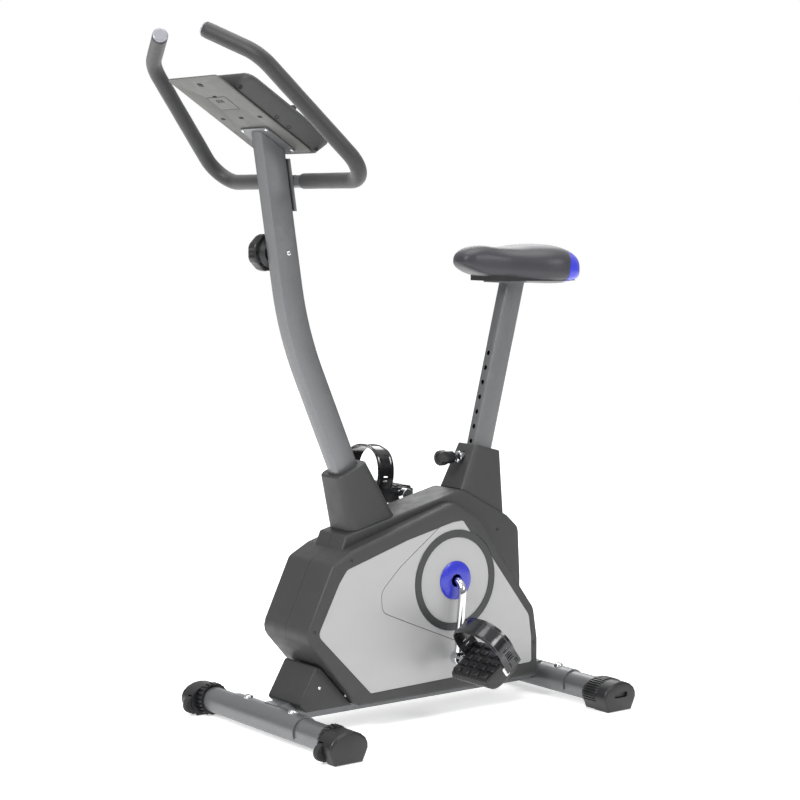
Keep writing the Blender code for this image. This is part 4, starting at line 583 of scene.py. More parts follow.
def make_finish(name):
    """Each finish starts from what the real one is."""
    paint = bpy.context.scene.bike_colours
    recipes = {
        # metallic powder coat on welded steel: soft gloss, fine bright flecks, slight orange peel
        "powder_coated_steel": lambda: grained(
            name, tuple(paint.steel), 0.36, 2.0, 0.05, tone=0.06, metallic=0.55, fleck=0.10),
        # the saddle plates and beam: the same coat, its colour darkened to 0.55 as painted shade
        "powder_coat_painted_shade": lambda: grained(
            name, shaded(tuple(paint.steel), 0.55), 0.44, 2.0, 0.05, metallic=0.35, fleck=0.08),
        # moulded ABS with a spark-eroded texture, drawn at 2.2 mm so that it shows
        "moulded_abs_dark": lambda: grained(
            name, tuple(paint.cover), 0.52, 2.2, 0.10, tone=0.05),
        # ABS sprayed with silver paint: satin, with very fine flecks
        "silver_painted_abs": lambda: grained(
            name, tuple(paint.panel), 0.42, 1.4, 0.02, tone=0.03, metallic=0.25, fleck=0.05),
        # semi-gloss dark ring round the crank panel
        "moulded_abs_ring": lambda: grained(
            name, linear("#2b2c2d"), 0.40, 2.0, 0.05),
        # glossy self-coloured ABS
        "glossy_blue_abs": lambda: grained(
            name, tuple(paint.accent), 0.28, 3.0, 0.02, tone=0.04, coat=0.2),
        # glass-filled nylon: satin black
        "moulded_nylon_black": lambda: grained(
            name, linear("#141416"), 0.40, 2.0, 0.10),
        # soft PVC strap: wet-looking gloss that shows finger marks
        "glossy_pvc_black": lambda: grained(
            name, linear("#141417"), 0.17, 4.0, 0.03, marks=0.10, coat=0.35),
        # bright chrome on steel with faint smudges
        "chrome_plate": lambda: grained(
            name, linear("#d4d5d8"), 0.10, 6.0, 0.0, tone=0.02, marks=0.05, metallic=1.0),
        # zinc plate on fasteners: bright and slightly mottled
        "zinc_plate": lambda: grained(
            name, linear("#c6c7c9"), 0.26, 2.0, 0.03, tone=0.10, metallic=1.0),
        "ground_bearing_steel": lambda: grained(
            name, linear("#9b9c9e"), 0.25, 1.5, 0.01, metallic=1.0),
        # rubber tyres and belt: dull, slightly dusty
        "rubber": lambda: grained(
            name, linear("#202022"), 0.75, 2.5, 0.15, tone=0.15),
        "cable_sheath_pvc": lambda: grained(
            name, linear("#232325"), 0.50, 2.5, 0.04),
        # closed-cell foam sleeve: pinprick cells and a soft violet-grey bloom
        "closed_cell_foam": lambda: grained(
            name, linear("#1b1b1d"), 0.55, 2.0, 0.25, tone=0.10, sheen=0.25),
        # pale glossy end plug
        "glossy_pale_plug": lambda: grained(
            name, linear("#8b8c92"), 0.25, 3.0, 0.02, coat=0.3),
        # light grey moulded back of the console
        "moulded_abs_light": lambda: grained(
            name, linear("#565653"), 0.50, 2.2, 0.08, tone=0.05),
        # painted shade: near-black that stands for the unlit inside of a slot or screw hole
        "painted_recess_shade": lambda: grained(
            name, linear("#101011"), 0.80, 2.0, 0.05),
        "vinyl_two_tone": lambda: vinyl_two_tone(
            name, tuple(paint.vinyl), tuple(paint.accent)),
        "turned_iron": lambda: turned_steel(
            name, linear("#5c5c5e"), middle_of("flywheel"), 0.38),
        "reflector_acrylic": lambda: reflector_plastic(name),
        "display_window": lambda: display_window(name),
    }
    return recipes[name]()


# ------------------------------------------------------------------ small shapes
def dome_head(centre, axis, radius, height, socket=0.45):
    """Round bolt head with a hollow for the key: the profile rises from the rim in a
    quarter ellipse, then drops into the socket."""
    angle = np.linspace(0.0, 0.5 * np.pi, 9)
    hollow = socket * radius
    rim = hollow + (radius - hollow) * np.cos(angle)
    rise = height * np.sin(angle)
    profile = [(-0.0012, 0.0), (-0.0012, radius)]
    profile += list(zip(rise, rim))
    profile += [(0.35 * height, hollow * 0.94), (0.30 * height, 0.0)]
    return turned(profile, centre, axis, 30)


def obround_ring(centre, across, up, half, radius, low, high):
    """Flat-topped obround: a stadium outline at two heights over a plane."""
    angle = np.linspace(0.0, 2.0 * np.pi, 32, endpoint=False)
    x = radius * np.cos(angle) + np.where(np.cos(angle) >= 0.0, half, -half)
    y = radius * np.sin(angle)
    outline = x[:, None] * unit(across) + y[:, None] * unit(up)
    normal = np.cross(unit(across), unit(up))
    return np.stack([centre + outline + normal * height for height in (low, high)])


def rounded_block(centre, axes, halves, top, rise):
    """Tapered block: a rounded rectangle that narrows to a share of its size as it rises
    along the third axis."""
    angle = np.linspace(0.0, 2.0 * np.pi, 16, endpoint=False) + np.pi / 16
    cos, sin = np.cos(angle), np.sin(angle)
    wide = np.sign(cos) * np.abs(cos) ** 0.35 * halves[0]
    deep = np.sign(sin) * np.abs(sin) ** 0.35 * halves[1]
    rings = []
    for share, height in ((1.0, -0.3), (1.0, 0.35), (0.5 * (1 + top), 0.85), (top, 1.0)):
        rings.append(centre + wide[:, None] * axes[0] * share + deep[:, None] * axes[1] * share
                     + axes[2] * rise * height)
    return np.stack(rings)


# ------------------------------------------------------------------ steelwork
class BIKE_OT_steelwork(bpy.types.Operator):
    """Finish the welded frame, posts and floor tubes"""
    bl_idname = "bike.steelwork"
    bl_label = "Steelwork"

    def execute(self, context):
        grey = finish("powder_coated_steel")
        for node in ("front_post", "seat_post", "front_stabilizer", "rear_stabilizer",
                     "console_bracket"):
            skin(node, grey, 0.0004)
        skin("main_frame", grey, 0.0)
        skin("handlebar", grey, 0.0)
        skin("magnet_bracket", finish("zinc_plate"), 0.0)
        skin("magnet_strip", finish("ground_bearing_steel"), 0.0)
        return {"FINISHED"}


# ------------------------------------------------------------------ covers
class BIKE_OT_covers(bpy.types.Operator):
    """Finish the moulded covers, panels, rings and sleeves"""
    bl_idname = "bike.covers"
    bl_label = "Covers"

    def execute(self, context):
        dark = finish("moulded_abs_dark")
        for node in ("cover_left", "cover_right"):
            skin(node, dark, 0.0)
        for node in ("post_boot", "seat_shroud", "front_lower_cover"):
            skin(node, dark)
        silver = finish("silver_painted_abs")
        for side in ("left", "right"):
            skin("side_panel_" + side, silver, 0.0004)
            skin("crank_panel_" + side, silver, 0.0004)
            skin("trim_ring_" + side, finish("moulded_abs_ring"), 0.0004)
            skin("hub_cap_" + side, finish("glossy_blue_abs"), 0.0004)
        skin("seat_tube_bushing", finish("moulded_nylon_black"), 0.0)
        return {"FINISHED"}


# ------------------------------------------------------------------ drive
def crank_end(sign):
    """Centre of a pedal's axis: the crank's length from the hub at the crank's angle."""
    swing = CRANK_LENGTH * np.array((0.0, -math.sin(CRANK_ANGLE), -math.cos(CRANK_ANGLE)))
    return HUB + sign * swing


class BIKE_OT_drive(bpy.types.Operator):
    """Build the chromed crank and finish the parts that it turns"""
    bl_idname = "bike.drive"
    bl_label = "Drive"

    def execute(self, context):
        left, right = crank_end(1.0), crank_end(-1.0)
        arm = 0.101
        corners = [(-arm, *right[1:]), (-arm, *HUB[1:], 0.022), (arm, *HUB[1:], 0.022),
                   (arm, *left[1:])]
        path = respaced(filleted(corners, 16), 0.003)
        square = np.cross((1.0, 0.0, 0.0), left - right)
        shells = [swept(path, circle(0.0077, 28), square)]
        for sign, end in ((1.0, left), (-1.0, right)):
            eye = [(0.0925, 0.0), (0.0925, 0.0118), (0.0937, 0.0130), (0.1083, 0.0130),
                   (0.1095, 0.0118), (0.1095, 0.0075), (0.1215, 0.0072), (0.1230, 0.0060),
                   (0.2300, 0.0060), (0.2320, 0.0050), (0.2320, 0.0)]
            shells.append(turned(eye, end, (sign, 0.0, 0.0), 32))
        new_piece("crank_forging", shells, "crank", finish("chrome_plate"),
                  ["crank"])
        skin("crank_pulley", finish("moulded_nylon_black"), 0.0)
        skin("drive_belt", finish("rubber"), 0.0)
        skin("flywheel", finish("turned_iron"), 0.0)
        for node in ("crank_bearing_left", "crank_bearing_right", "flywheel_bearing_left",
                     "flywheel_bearing_right"):
            skin(node, finish("ground_bearing_steel"), 0.0)
        skin("tension_cable", finish("cable_sheath_pvc"), 0.0)
        skin("sensor_wire", finish("cable_sheath_pvc"), 0.0)
        skin("speed_sensor", finish("moulded_nylon_black"), 0.0)
        return {"FINISHED"}


# ------------------------------------------------------------------ pedals
def pedal_frame(sign, pitch):
    """Pedal axes in the world: outboard, back along the tread, and up through it."""
    cos, sin = math.cos(pitch), math.sin(pitch)
    return (np.array((sign, 0.0, 0.0)), np.array((0.0, cos, sin)), np.array((0.0, -sin, cos)))


class BIKE_OT_pedals(bpy.types.Operator):
    """Build the pedals' tread, teeth and reflectors, and the foot straps"""
    bl_idname = "bike.pedals"
    bl_label = "Pedals"

    def execute(self, context):
        for side, sign, pitch, offset, rise in (("left", 1.0, 37.0, 0.022, 0.083),
                                                ("right", -1.0, -5.0, -0.036, 0.091)):
            axes = pedal_frame(sign, math.radians(pitch))
            origin = crank_end(sign)
            build_pedal(context, side, origin, axes)
            build_strap(side, origin, axes, offset, rise)
        return {"FINISHED"}


def build_pedal(context, side, origin, axes):
    """Tread blocks in rows over the pedal, a toothed front edge and an end reflector."""
    out, back, up = axes
    sizes = context.scene.bike_sizes
    node = "pedal_" + side
    black = finish("moulded_nylon_black")
    # body: a flat tread over a rounded underside, its section scaled down into both ends
    angle = np.linspace(0.0, 2.0 * np.pi, 64, endpoint=False)
    cos, sin = np.cos(angle), np.sin(angle)
    a = 0.0438 * np.sign(cos) * np.abs(cos) ** np.where(sin > 0.0, 0.28, 0.62)
    b = np.where(sin > 0.0, 0.0125 * np.abs(sin) ** 0.30, -0.0215 * np.abs(sin) ** 0.80)
    turn = np.linspace(0.0, 0.5 * np.pi, 7)
    soft = 0.0050
    x = np.concatenate([0.1300 + soft * (1.0 - np.cos(turn)),
                        0.2400 - soft * (1.0 - np.cos(turn[::-1]))])
    inset = soft * (1.0 - np.sin(np.concatenate([turn, turn[::-1]])))
    shrink = 1.0 - inset[:, None] / 0.030
    rings = (origin + x[:, None, None] * out + (a * shrink)[..., None] * back
             + (b * shrink)[..., None] * up)
    new_piece("pedal_body_" + side, [rings], node, black, [node], smooth=40.0)
    blocks = []
    for row in range(-2, 3):
        for column in range(4):
            shift = 0.25 if row % 2 else -0.25
            centre = (origin + out * (0.1455 + 0.0263 * (column + 0.30 * shift))
                      + back * row * sizes.tread_pitch + up * 0.0125)
            blocks.append(rounded_block(centre, (out, back, up), (0.0104, 0.0052), 0.70,
                                        sizes.tread_height))
    new_piece("pedal_tread_" + side, blocks, node, black, smooth=30.0)
    # the front edge is a band whose outer line is a saw tooth 9.3 mm from tip to tip
    x = np.linspace(0.1340, 0.2360, 89)
    saw = np.abs(((x - 0.1340) / 0.0093) % 1.0 - 0.5) * 2.0
    depth = 0.0010 + 0.0036 * saw
    section = np.array([(0.0, 0.0110), (-0.4, 0.0100), (-1.0, 0.0040), (-1.0, -0.0010),
                        (-0.3, -0.0050), (0.0, -0.0060)])
    a = -0.0424 + section[None, :, 0] * depth[:, None]
    b = np.broadcast_to(section[None, :, 1], a.shape)
    teeth = (origin + x[:, None, None] * out + a[..., None] * back + b[..., None] * up)
    new_piece("pedal_teeth_" + side, [teeth], node, black, smooth=25.0)
    plate = rounded_block(origin + out * 0.2398 - up * 0.0055 + back * 0.0030,
                          (back, up, out), (0.0062, 0.0092), 0.86, 0.0016)
    new_piece("pedal_reflector_" + side, [plate], node,
              finish("reflector_acrylic"), smooth=30.0)


def build_strap(side, origin, axes, offset, rise):
    """Strap over the foot: a band whose arch follows a superellipse of power 0.8, with two
    raised ribs along it, adjusting slots near its outboard end and a buckle stud."""
    out, back, up = axes
    half = 0.0550 + 0.0004 + 0.0015
    angle = np.linspace(0.0, np.pi, 97)
    cos, sin = np.cos(angle), np.sin(angle)
    across = (half + 0.0035) * np.sign(cos) * np.abs(cos) ** 0.80
    height = 0.0300 + (rise - 0.0300) * np.abs(sin) ** 0.80
    line = np.stack([across, height], axis=-1)
    line = np.vstack([[(half, -0.0110), (half, 0.0140), (half + 0.0010, 0.0200)], line,
                      [(-half - 0.0010, 0.0200), (-half, 0.0140), (-half, 0.0080)]])
    line = respaced(line, 0.0022)
    path = (origin + (0.1850 + line[:, :1]) * out + offset * back + line[:, 1:] * up)
    w = 0.0195
    section = np.array([(-w, -0.0013), (w, -0.0013), (w + 0.0005, 0.0), (w, 0.0013),
                        (w - 0.0030, 0.0015), (w - 0.0042, 0.0029), (w - 0.0062, 0.0029),
                        (w - 0.0074, 0.0014), (0.0020, 0.0012), (-0.0020, 0.0012),
                        (-w + 0.0074, 0.0014), (-w + 0.0062, 0.0029), (-w + 0.0042, 0.0029),
                        (-w + 0.0030, 0.0015), (-w, 0.0013), (-w - 0.0005, 0.0)])
    # the section's up must point away from the foot on either side of the bike
    along = path[1] - path[0]
    flip = 1.0 if np.dot(np.cross(along, back), out) > 0.0 else -1.0
    section = section * (1.0, flip)
    node = "pedal_strap_" + side
    strap = make_piece("strap_" + side, [swept(path, section, back)], 28.0)
    slots = []
    for b in (0.0240, 0.0330):
        slots.append(obround_ring(origin + out * 0.2370 + back * offset + up * b, back, up,
                                  0.0060, 0.0016, -0.004, 0.012))
    for b in (0.0240, 0.0330):
        slots.append(obround_ring(origin + out * 0.1235 + back * offset + up * b, back, up,
                                  0.0045, 0.0014, -0.006, 0.010))
    carve(strap, slots)
    ride_with(strap, node, finish("glossy_pvc_black"))
    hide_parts(node)
    # the outboard leg's foot has two catches, which hook it to the pedal's end
    teeth = [rounded_block(origin + out * 0.2429 + back * (offset + shift) - up * 0.0030,
                           (back, up, out), (0.0016, 0.0062), 0.6, 0.0026)
             for shift in (-0.0050, 0.0100)]
    teeth += [rounded_block(origin + out * (0.2432 + 0.0003 * k) + back * (offset + 0.0025)
                            + up * (0.0080 + 0.0052 * k), (back, up, out), (0.0075, 0.0012),
                            0.6, 0.0016) for k in range(3)]
    new_piece("strap_catches_" + side, teeth, node,
              finish("glossy_pvc_black"), smooth=30.0)


# ------------------------------------------------------------------ saddle
SADDLE_STATIONS = (
    # y, half width, bottom z, top z
    (0.1580, 0.0100, 0.8790, 0.8910),
    (0.1650, 0.0230, 0.8730, 0.9020),
    (0.1820, 0.0340, 0.8650, 0.9110),
    (0.2120, 0.0430, 0.8560, 0.9160),
    (0.2500, 0.0580, 0.8510, 0.9125),
    (0.2900, 0.0820, 0.8450, 0.9130),
    (0.3250, 0.1000, 0.8400, 0.9170),
    (0.3600, 0.1060, 0.8380, 0.9180),
    (0.3920, 0.0985, 0.8385, 0.9120),
    (0.4110, 0.0810, 0.8420, 0.9000),
    (0.4190, 0.0600, 0.8500, 0.8870),
)


def saddle_grid(rows, columns, shrink):
    """Saddle pad: along Y the stations give width, underside and crown, and round each ring
    the upper half is a superellipse of power 0.78 and the lower half a boxier one of 0.50.
    The first and last rings close to a point."""
    station = through(SADDLE_STATIONS, rows)
    y, half, low, high = (station[:, k:k + 1] for k in range(4))
    half, low, high = half - shrink, low + shrink, high - shrink
    angle = np.linspace(0.0, 2.0 * np.pi, columns, endpoint=False)[None, :]
    cos, sin = np.cos(angle), np.sin(angle)
    power = np.where(sin >= 0.0, 0.78, 0.50)
    wide = np.sign(cos) * np.abs(cos) ** power
    tall = np.abs(sin) ** power
    middle = low + 0.45 * (high - low)
    z = np.where(sin >= 0.0, middle + (high - middle) * tall, middle - (middle - low) * tall)
    x = half * wide
    y = np.broadcast_to(y + SHIFT, x.shape)
    grid = np.stack([x, y, z], axis=-1)
    ends = [grid[:1].mean(axis=1, keepdims=True), grid[-1:].mean(axis=1, keepdims=True)]
    ends = [np.broadcast_to(end, (1, columns, 3)) for end in ends]
    ends[0] = ends[0] - (0.0, 0.0012, 0.0)
    ends[1] = ends[1] + (0.0, 0.0012, 0.0)
    return np.concatenate([ends[0], grid, ends[1]])


def puff(piece, swell):
    """Blows the pad up a little with Cloth from the inside and keeps each point within the
    swell of where it was."""
    scene = bpy.context.scene
    start = np.empty(len(piece.data.vertices) * 3)
    piece.data.vertices.foreach_get("co", start)
    cloth = piece.modifiers.new("air", "CLOTH")
    cloth.settings.use_pressure = True
    cloth.settings.uniform_pressure_force = 4.0
    cloth.settings.effector_weights.gravity = 0.0
    cloth.settings.tension_stiffness = 25.0
    cloth.settings.compression_stiffness = 25.0
    cloth.settings.bending_stiffness = 6.0
    cloth.point_cache.frame_start = 1
    cloth.point_cache.frame_end = 20
    for number in range(1, 21):
        scene.frame_set(number)
    graph = bpy.context.evaluated_depsgraph_get()
    blown = piece.evaluated_get(graph).to_mesh()
    end = np.empty_like(start)
    blown.vertices.foreach_get("co", end)
    piece.evaluated_get(graph).to_mesh_clear()
    piece.modifiers.clear()
    scene.frame_set(1)
    move = (end - start).reshape(-1, 3)
    length = np.linalg.norm(move, axis=1, keepdims=True)
    move = move * np.minimum(1.0, swell / np.maximum(length, 1e-9))
    piece.data.vertices.foreach_set("co", (start.reshape(-1, 3) + move).ravel())
    piece.data.update()


class BIKE_OT_saddle(bpy.types.Operator):
    """Build the padded saddle and its base"""
    bl_idname = "bike.saddle"
    bl_label = "Saddle"

    def execute(self, context):
        swell = context.scene.bike_sizes.pad_swell
        pad = make_piece("saddle_cushion", [saddle_grid(72, 72, 0.0006)], 180.0)
        remesh = pad.modifiers.new("even", "REMESH")
        remesh.mode = "VOXEL"
        remesh.voxel_size = 0.0045
        remesh.use_smooth_shade = True
        apply_modifiers(pad)
        puff(pad, swell)
        ease = pad.modifiers.new("ease", "SMOOTH")
        ease.factor = 0.5
        ease.iterations = 2
        apply_modifiers(pad)
        keep_inside(pad)
        pad.data.shade_smooth()
        round_out = pad.modifiers.new("round", "SUBSURF")
        round_out.levels = 1
        round_out.render_levels = 1
        ride_with(pad, "saddle_pad", finish("vinyl_two_tone"))
        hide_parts("saddle_pad")
        skin("saddle_base", finish("moulded_nylon_black"), 0.0)
        return {"FINISHED"}


def keep_inside(piece):
    """Brings a piece back inside the CAD pad's box."""
    low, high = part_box("saddle_pad")
    points = np.empty(len(piece.data.vertices) * 3)
    piece.data.vertices.foreach_get("co", points)
    points = points.reshape(-1, 3)
    now_low, now_high = points.min(axis=0), points.max(axis=0)
    scale = (np.array(high) - np.array(low)) / (now_high - now_low)
    points = np.array(low) + (points - now_low) * scale
    piece.data.vertices.foreach_set("co", points.ravel())
    piece.data.update()


# ------------------------------------------------------------------ handlebar
class BIKE_OT_handlebar(bpy.types.Operator):
    """Build the foam sleeves and the plugs in the bar's ends"""
    bl_idname = "bike.handlebar"
    bl_label = "Handlebar grips"

    def execute(self, context):
        radius = context.scene.bike_sizes.grip_radius
        for side, sign in (("left", 1.0), ("right", -1.0)):
            corners = [(sign * 0.034, -0.2334 + SHIFT, 1.037),
                       (sign * 0.249, -0.2334 + SHIFT, 1.037, 0.050),
                       (sign * 0.180, -0.4250 + SHIFT, 1.2500, 0.070),
                       (sign * 0.0780, -0.4680 + SHIFT, 1.2960)]
            path = respaced(filleted(corners, 20), 0.004)
            direction = unit(path[-1] - path[-2])
            run = np.linspace(0.0, 1.0, len(path))
            length = len(path) * 0.004
            from_end = np.minimum(run, 1.0 - run) * length
            # the sleeve's ends turn in over 3 mm, and its wall is uneven by a tenth of a mm
            shrink = 0.0022 * np.clip(1.0 - from_end / 0.003, 0.0, 1.0) ** 2
            ripple = 0.00012 * np.sin(run * 43.0) * np.sin(run * 17.0)
            section = circle(1.0, 32)[None] * (radius - shrink + ripple)[:, None, None]
            tube = swept(path, section, (0.0, 0.74, 0.67))
            new_piece("foam_sleeve_" + side, [tube], "grip_" + side,
                      finish("closed_cell_foam"), ["grip_" + side])
            tip = path[-1]
            plug = [(-0.004, 0.0), (-0.004, 0.0105), (0.0004, 0.0105), (0.0004, 0.0140),
                    (0.0018, 0.0144), (0.0030, 0.0136), (0.0038, 0.0118), (0.0042, 0.0085),
                    (0.0040, 0.0060), (0.0036, 0.0)]
            new_piece("bar_plug_" + side, [turned(plug, tip, direction, 40)],
                      "grip_plug_" + side, finish("glossy_pale_plug"),
                      ["grip_plug_" + side])
        return {"FINISHED"}


# ------------------------------------------------------------------ console
def console_axes():
    """Console directions: across, down its back face, and out of its face."""
    cos, sin = math.cos(CONSOLE_TILT), math.sin(CONSOLE_TILT)
    return (np.array((1.0, 0.0, 0.0)), np.array((0.0, cos, -sin)), np.array((0.0, sin, cos)))


def on_console(x, s, t):
    """Point on the console: s down its back face and t out of its face."""
    across, down, out = console_axes()
    return CONSOLE_ORIGIN + across * x + down * s + out * t


class BIKE_OT_console(bpy.types.Operator):
    """Finish the console and build its screws, slots and door"""
    bl_idname = "bike.console"
    bl_label = "Console"

    def execute(self, context):
        across, down, out = console_axes()
        dark, light = finish("moulded_abs_dark"), finish("moulded_abs_light")
        skin("console_housing", dark, 0.0, 50.0)
        plate = skin("console_back", light, 0.0004)
        apply_modifiers(plate)
        carve(plate, [obround_ring(on_console(0.0, -0.1680, 0.0), across, -down, 0.0030,
                                   0.0056, -0.01, 0.01)])
        skin("battery_door", light, 0.0003)
        skin("console_lens", finish("display_window"), 0.0002)
        skin("mode_button", finish("moulded_nylon_black"), 0.0005)
        # near-black painted shade for the vent slots, the door's ribs and gap, and the screw holes
        black = finish("painted_recess_shade")
        # the three vent slots are flat sheets of painted shade, 0.8 mm thick
        slots = [obround_ring(on_console(x, -0.065, 0.0), across, -down, 0.0036, 0.0030,
                              -0.0004, 0.0004) for x in (-0.061, 0.0, 0.061)]
        new_piece("vent_slot_shade", slots, "console_back", black)
        # the door's arrow ribs and finger tab, drawn in the near-black painted shade
        ribs = [rounded_block(on_console(x, -0.1180, -0.0004), (across, down, -out),
                              (0.0016, 0.0045), 0.7, 0.0006) for x in (-0.008, 0.0, 0.008)]
        ribs.append(rounded_block(on_console(0.0, -0.1315, -0.0002), (across, down, -out),
                                  (0.0060, 0.0022), 0.8, 0.0010))
        new_piece("door_ribs", ribs, "battery_door", black, smooth=30.0)
        # the gap round the door is in shadow: a dark frame 0.8 mm wide stands in it
        edge = [on_console(x, s, -0.0001) for x, s in ((-0.0298, -0.1298), (0.0298, -0.1298),
                                                       (0.0298, -0.0922), (-0.0298, -0.0922))]
        sides = [rounded_block(0.5 * (p + q), (unit(q - p), np.cross(-out, unit(q - p)), -out),
                               (0.5 * np.linalg.norm(q - p), 0.0005), 0.9, 0.0003)
                 for p, q in zip(edge, edge[1:] + edge[:1])]
        new_piece("door_gap", sides, "console_back", black)
        # the screw holes in the housing's sides: dark cups of painted shade
        holes = []
        for x in (0.0895, -0.0895):
            # square to the housing's side, which flares out 23 mm over a rise of 18 mm
            slope = unit(np.array((math.copysign(0.616, x), 0.0, 0.0)) - out * 0.788)
            for s in (-0.1420, -0.0500, -0.0190, 0.0520):
                holes.append(turned([(-0.002, 0.0), (-0.002, 0.0040), (0.0004, 0.0040),
                                     (0.0005, 0.0028), (-0.0005, 0.0022), (-0.0005, 0.0)],
                                    on_console(x, s, 0.0080), slope, 20))
        new_piece("screw_well_shade", holes, "console_housing", black)
        screws = [dome_head(on_console(x, s, -0.0036), -out, 0.0040, 0.0020, 0.30)
                  for x in (-0.038, 0.038) for s in (-0.029, 0.037)]
        new_piece("bracket_screws", screws, "console_bracket",
                  finish("zinc_plate"), smooth=30.0)
        return {"FINISHED"}


# ------------------------------------------------------------------ controls
class BIKE_OT_controls(bpy.types.Operator):
    """Build the tension knob and the seat's pull pin"""
    bl_idname = "bike.controls"
    bl_label = "Tension knob and seat pin"

    def execute(self, context):
        black = finish("moulded_nylon_black")
        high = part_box("tension_knob")[1].x
        centre = KNOB_AXIS * (0.0, 1.0, 1.0)
        centre[0] = high
        profile = [(0.0, 0.0), (0.0, 0.0325), (0.0008, 0.0342), (0.0025, 0.0358),
                   (0.0060, 0.0362), (0.0200, 0.0358), (0.0240, 0.0345), (0.0258, 0.0318),
                   (0.0265, 0.0280), (0.0265, 0.0230), (0.0250, 0.0205), (0.0243, 0.0100),
                   (0.0243, 0.0)]

        def scallop(along, angle):
            """Eight finger flats: the rim drops by up to 2 mm between the lobes."""
            rim = np.clip(along / 0.002, 0.0, 1.0) * np.clip((0.0262 - along) / 0.004, 0.0, 1.0)
            return 0.0020 * rim * np.clip(np.cos(8.0 * angle) * 1.8, -1.0, 1.0) * 0.5 + 0.001 * rim

        new_piece("tension_dial", [turned(profile, centre, (-1.0, 0.0, 0.0), 192, scallop)],
                  "tension_knob", black, ["tension_knob"], smooth=40.0)
        skin("tension_housing", black, 0.0003)
        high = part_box("seat_pull_pin")[1]
        middle = middle_of("seat_pull_pin")
        head = 0.1500 + SHIFT
        tip = high.y
        pin = [(tip, 0.0), (tip, 0.0032), (tip - 0.002, 0.0040), (head, 0.0040),
               (head, 0.0100), (head - 0.003, 0.0125), (head - 0.018, 0.0125),
               (head - 0.022, 0.0155), (head - 0.034, 0.0155), (head - 0.037, 0.0135),
               (head - 0.037, 0.0085), (head - 0.0345, 0.0075), (head - 0.0345, 0.0)]

        def flutes(along, angle):
            """Ten finger grooves round the wide end of the knob."""
            wide = np.clip((head - 0.0200 - along) / 0.002, 0.0, 1.0)
            wide = wide * np.clip((along - (head - 0.0365)) / 0.002, 0.0, 1.0)
            return 0.0010 * wide * (1.0 + np.cos(10.0 * angle)) * 0.5

        base = np.array((middle[0], 0.0, middle[2]))
        new_piece("seat_pin_knob", [turned(pin, base, (0.0, 1.0, 0.0), 80, flutes)],
                  "seat_pull_pin", black, ["seat_pull_pin"], smooth=40.0)
        skin("pin_collar", finish("chrome_plate"), 0.0004)
        return {"FINISHED"}


# ------------------------------------------------------------------ floor caps
def rear_cap_grip(sign, middle_y):
    """Inner collar of a rear cap, round over the top, and the ribs along it."""
    turn = np.radians(np.linspace(-28.0, 208.0, 40))
    outline = np.stack([np.cos(turn), 1.0 + np.sin(turn)], axis=1) * COLLAR
    outline = np.vstack([outline, [(-0.0300, 0.0010), (0.0300, 0.0010)]])
    rows = []
    for x, size in ((0.1850, 0.0), (0.1850, 0.96), (0.1870, 1.0), (0.2160, 1.0),
                    (0.2160, 0.0)):
        side = (outline - (0.0, COLLAR[1])) * size + (middle_y, COLLAR[1])
        rows.append(np.column_stack([np.full(len(side), sign * x), side]))
    shells = [np.array(rows if sign > 0.0 else rows[::-1])]
    along = np.array((1.0, 0.0, 0.0))
    for angle in np.radians(np.arange(-18.0, 199.0, 9.0)):
        foot = np.array((sign * 0.2080, middle_y + COLLAR[0] * math.cos(angle),
                         COLLAR[1] + COLLAR[1] * math.sin(angle)))
        out = np.array(unit((0.0, math.cos(angle) / COLLAR[0], math.sin(angle) / COLLAR[1])))
        shells.append(rounded_block(foot - out * 0.0004, (along, np.cross(out, along), out),
                                    (0.0190, 0.0018), 0.70, 0.0030))
    return shells


def front_cap_grip(sign, middle_y):
    """Short ribs round the ring of a front cap, open at the bottom."""
    along = np.array((1.0, 0.0, 0.0))
    shells = []
    for angle in np.radians(np.arange(-60.0, 241.0, 15.0)):
        out = np.array((0.0, math.cos(angle), math.sin(angle)))
        centre = np.array((sign * 0.2050, middle_y, STABILIZER_Z)) + out * 0.0296
        shells.append(rounded_block(centre, (along, np.cross(out, along), out),
                                    (0.0086, 0.0023), 0.72, 0.0028))
    return shells


class BIKE_OT_caps(bpy.types.Operator):
    """Finish the end caps and wheels, and build the caps' ribs and the rear slots"""
    bl_idname = "bike.caps"
    bl_label = "End caps and wheels"

    def execute(self, context):
        black = finish("moulded_nylon_black")
        for end in ("front", "rear"):
            for side, sign in (("left", 1.0), ("right", -1.0)):
                node = "%s_cap_%s" % (end, side)
                foot = skin(node, black, 0.0)
                middle = middle_of("%s_stabilizer" % end)
                if end == "rear":
                    ribs = rear_cap_grip(sign, middle[1])
                    slot = rounded_block(np.array((sign * 0.2570, middle[1], 0.0330)),
                                         np.array(((0.0, 1.0, 0.0), (0.0, 0.0, 1.0),
                                                   (-sign, 0.0, 0.0))),
                                         (0.0170, 0.0055), 0.95, 0.0075)
                    carve(foot, [slot])
                else:
                    ribs = front_cap_grip(sign, middle[1])
                new_piece("cap_ribs_%s_%s" % (end, side), ribs, node, black,
                          smooth=30.0)
        for side in ("left", "right"):
            skin("transport_wheel_" + side, finish("rubber"), 0.0)
        return {"FINISHED"}


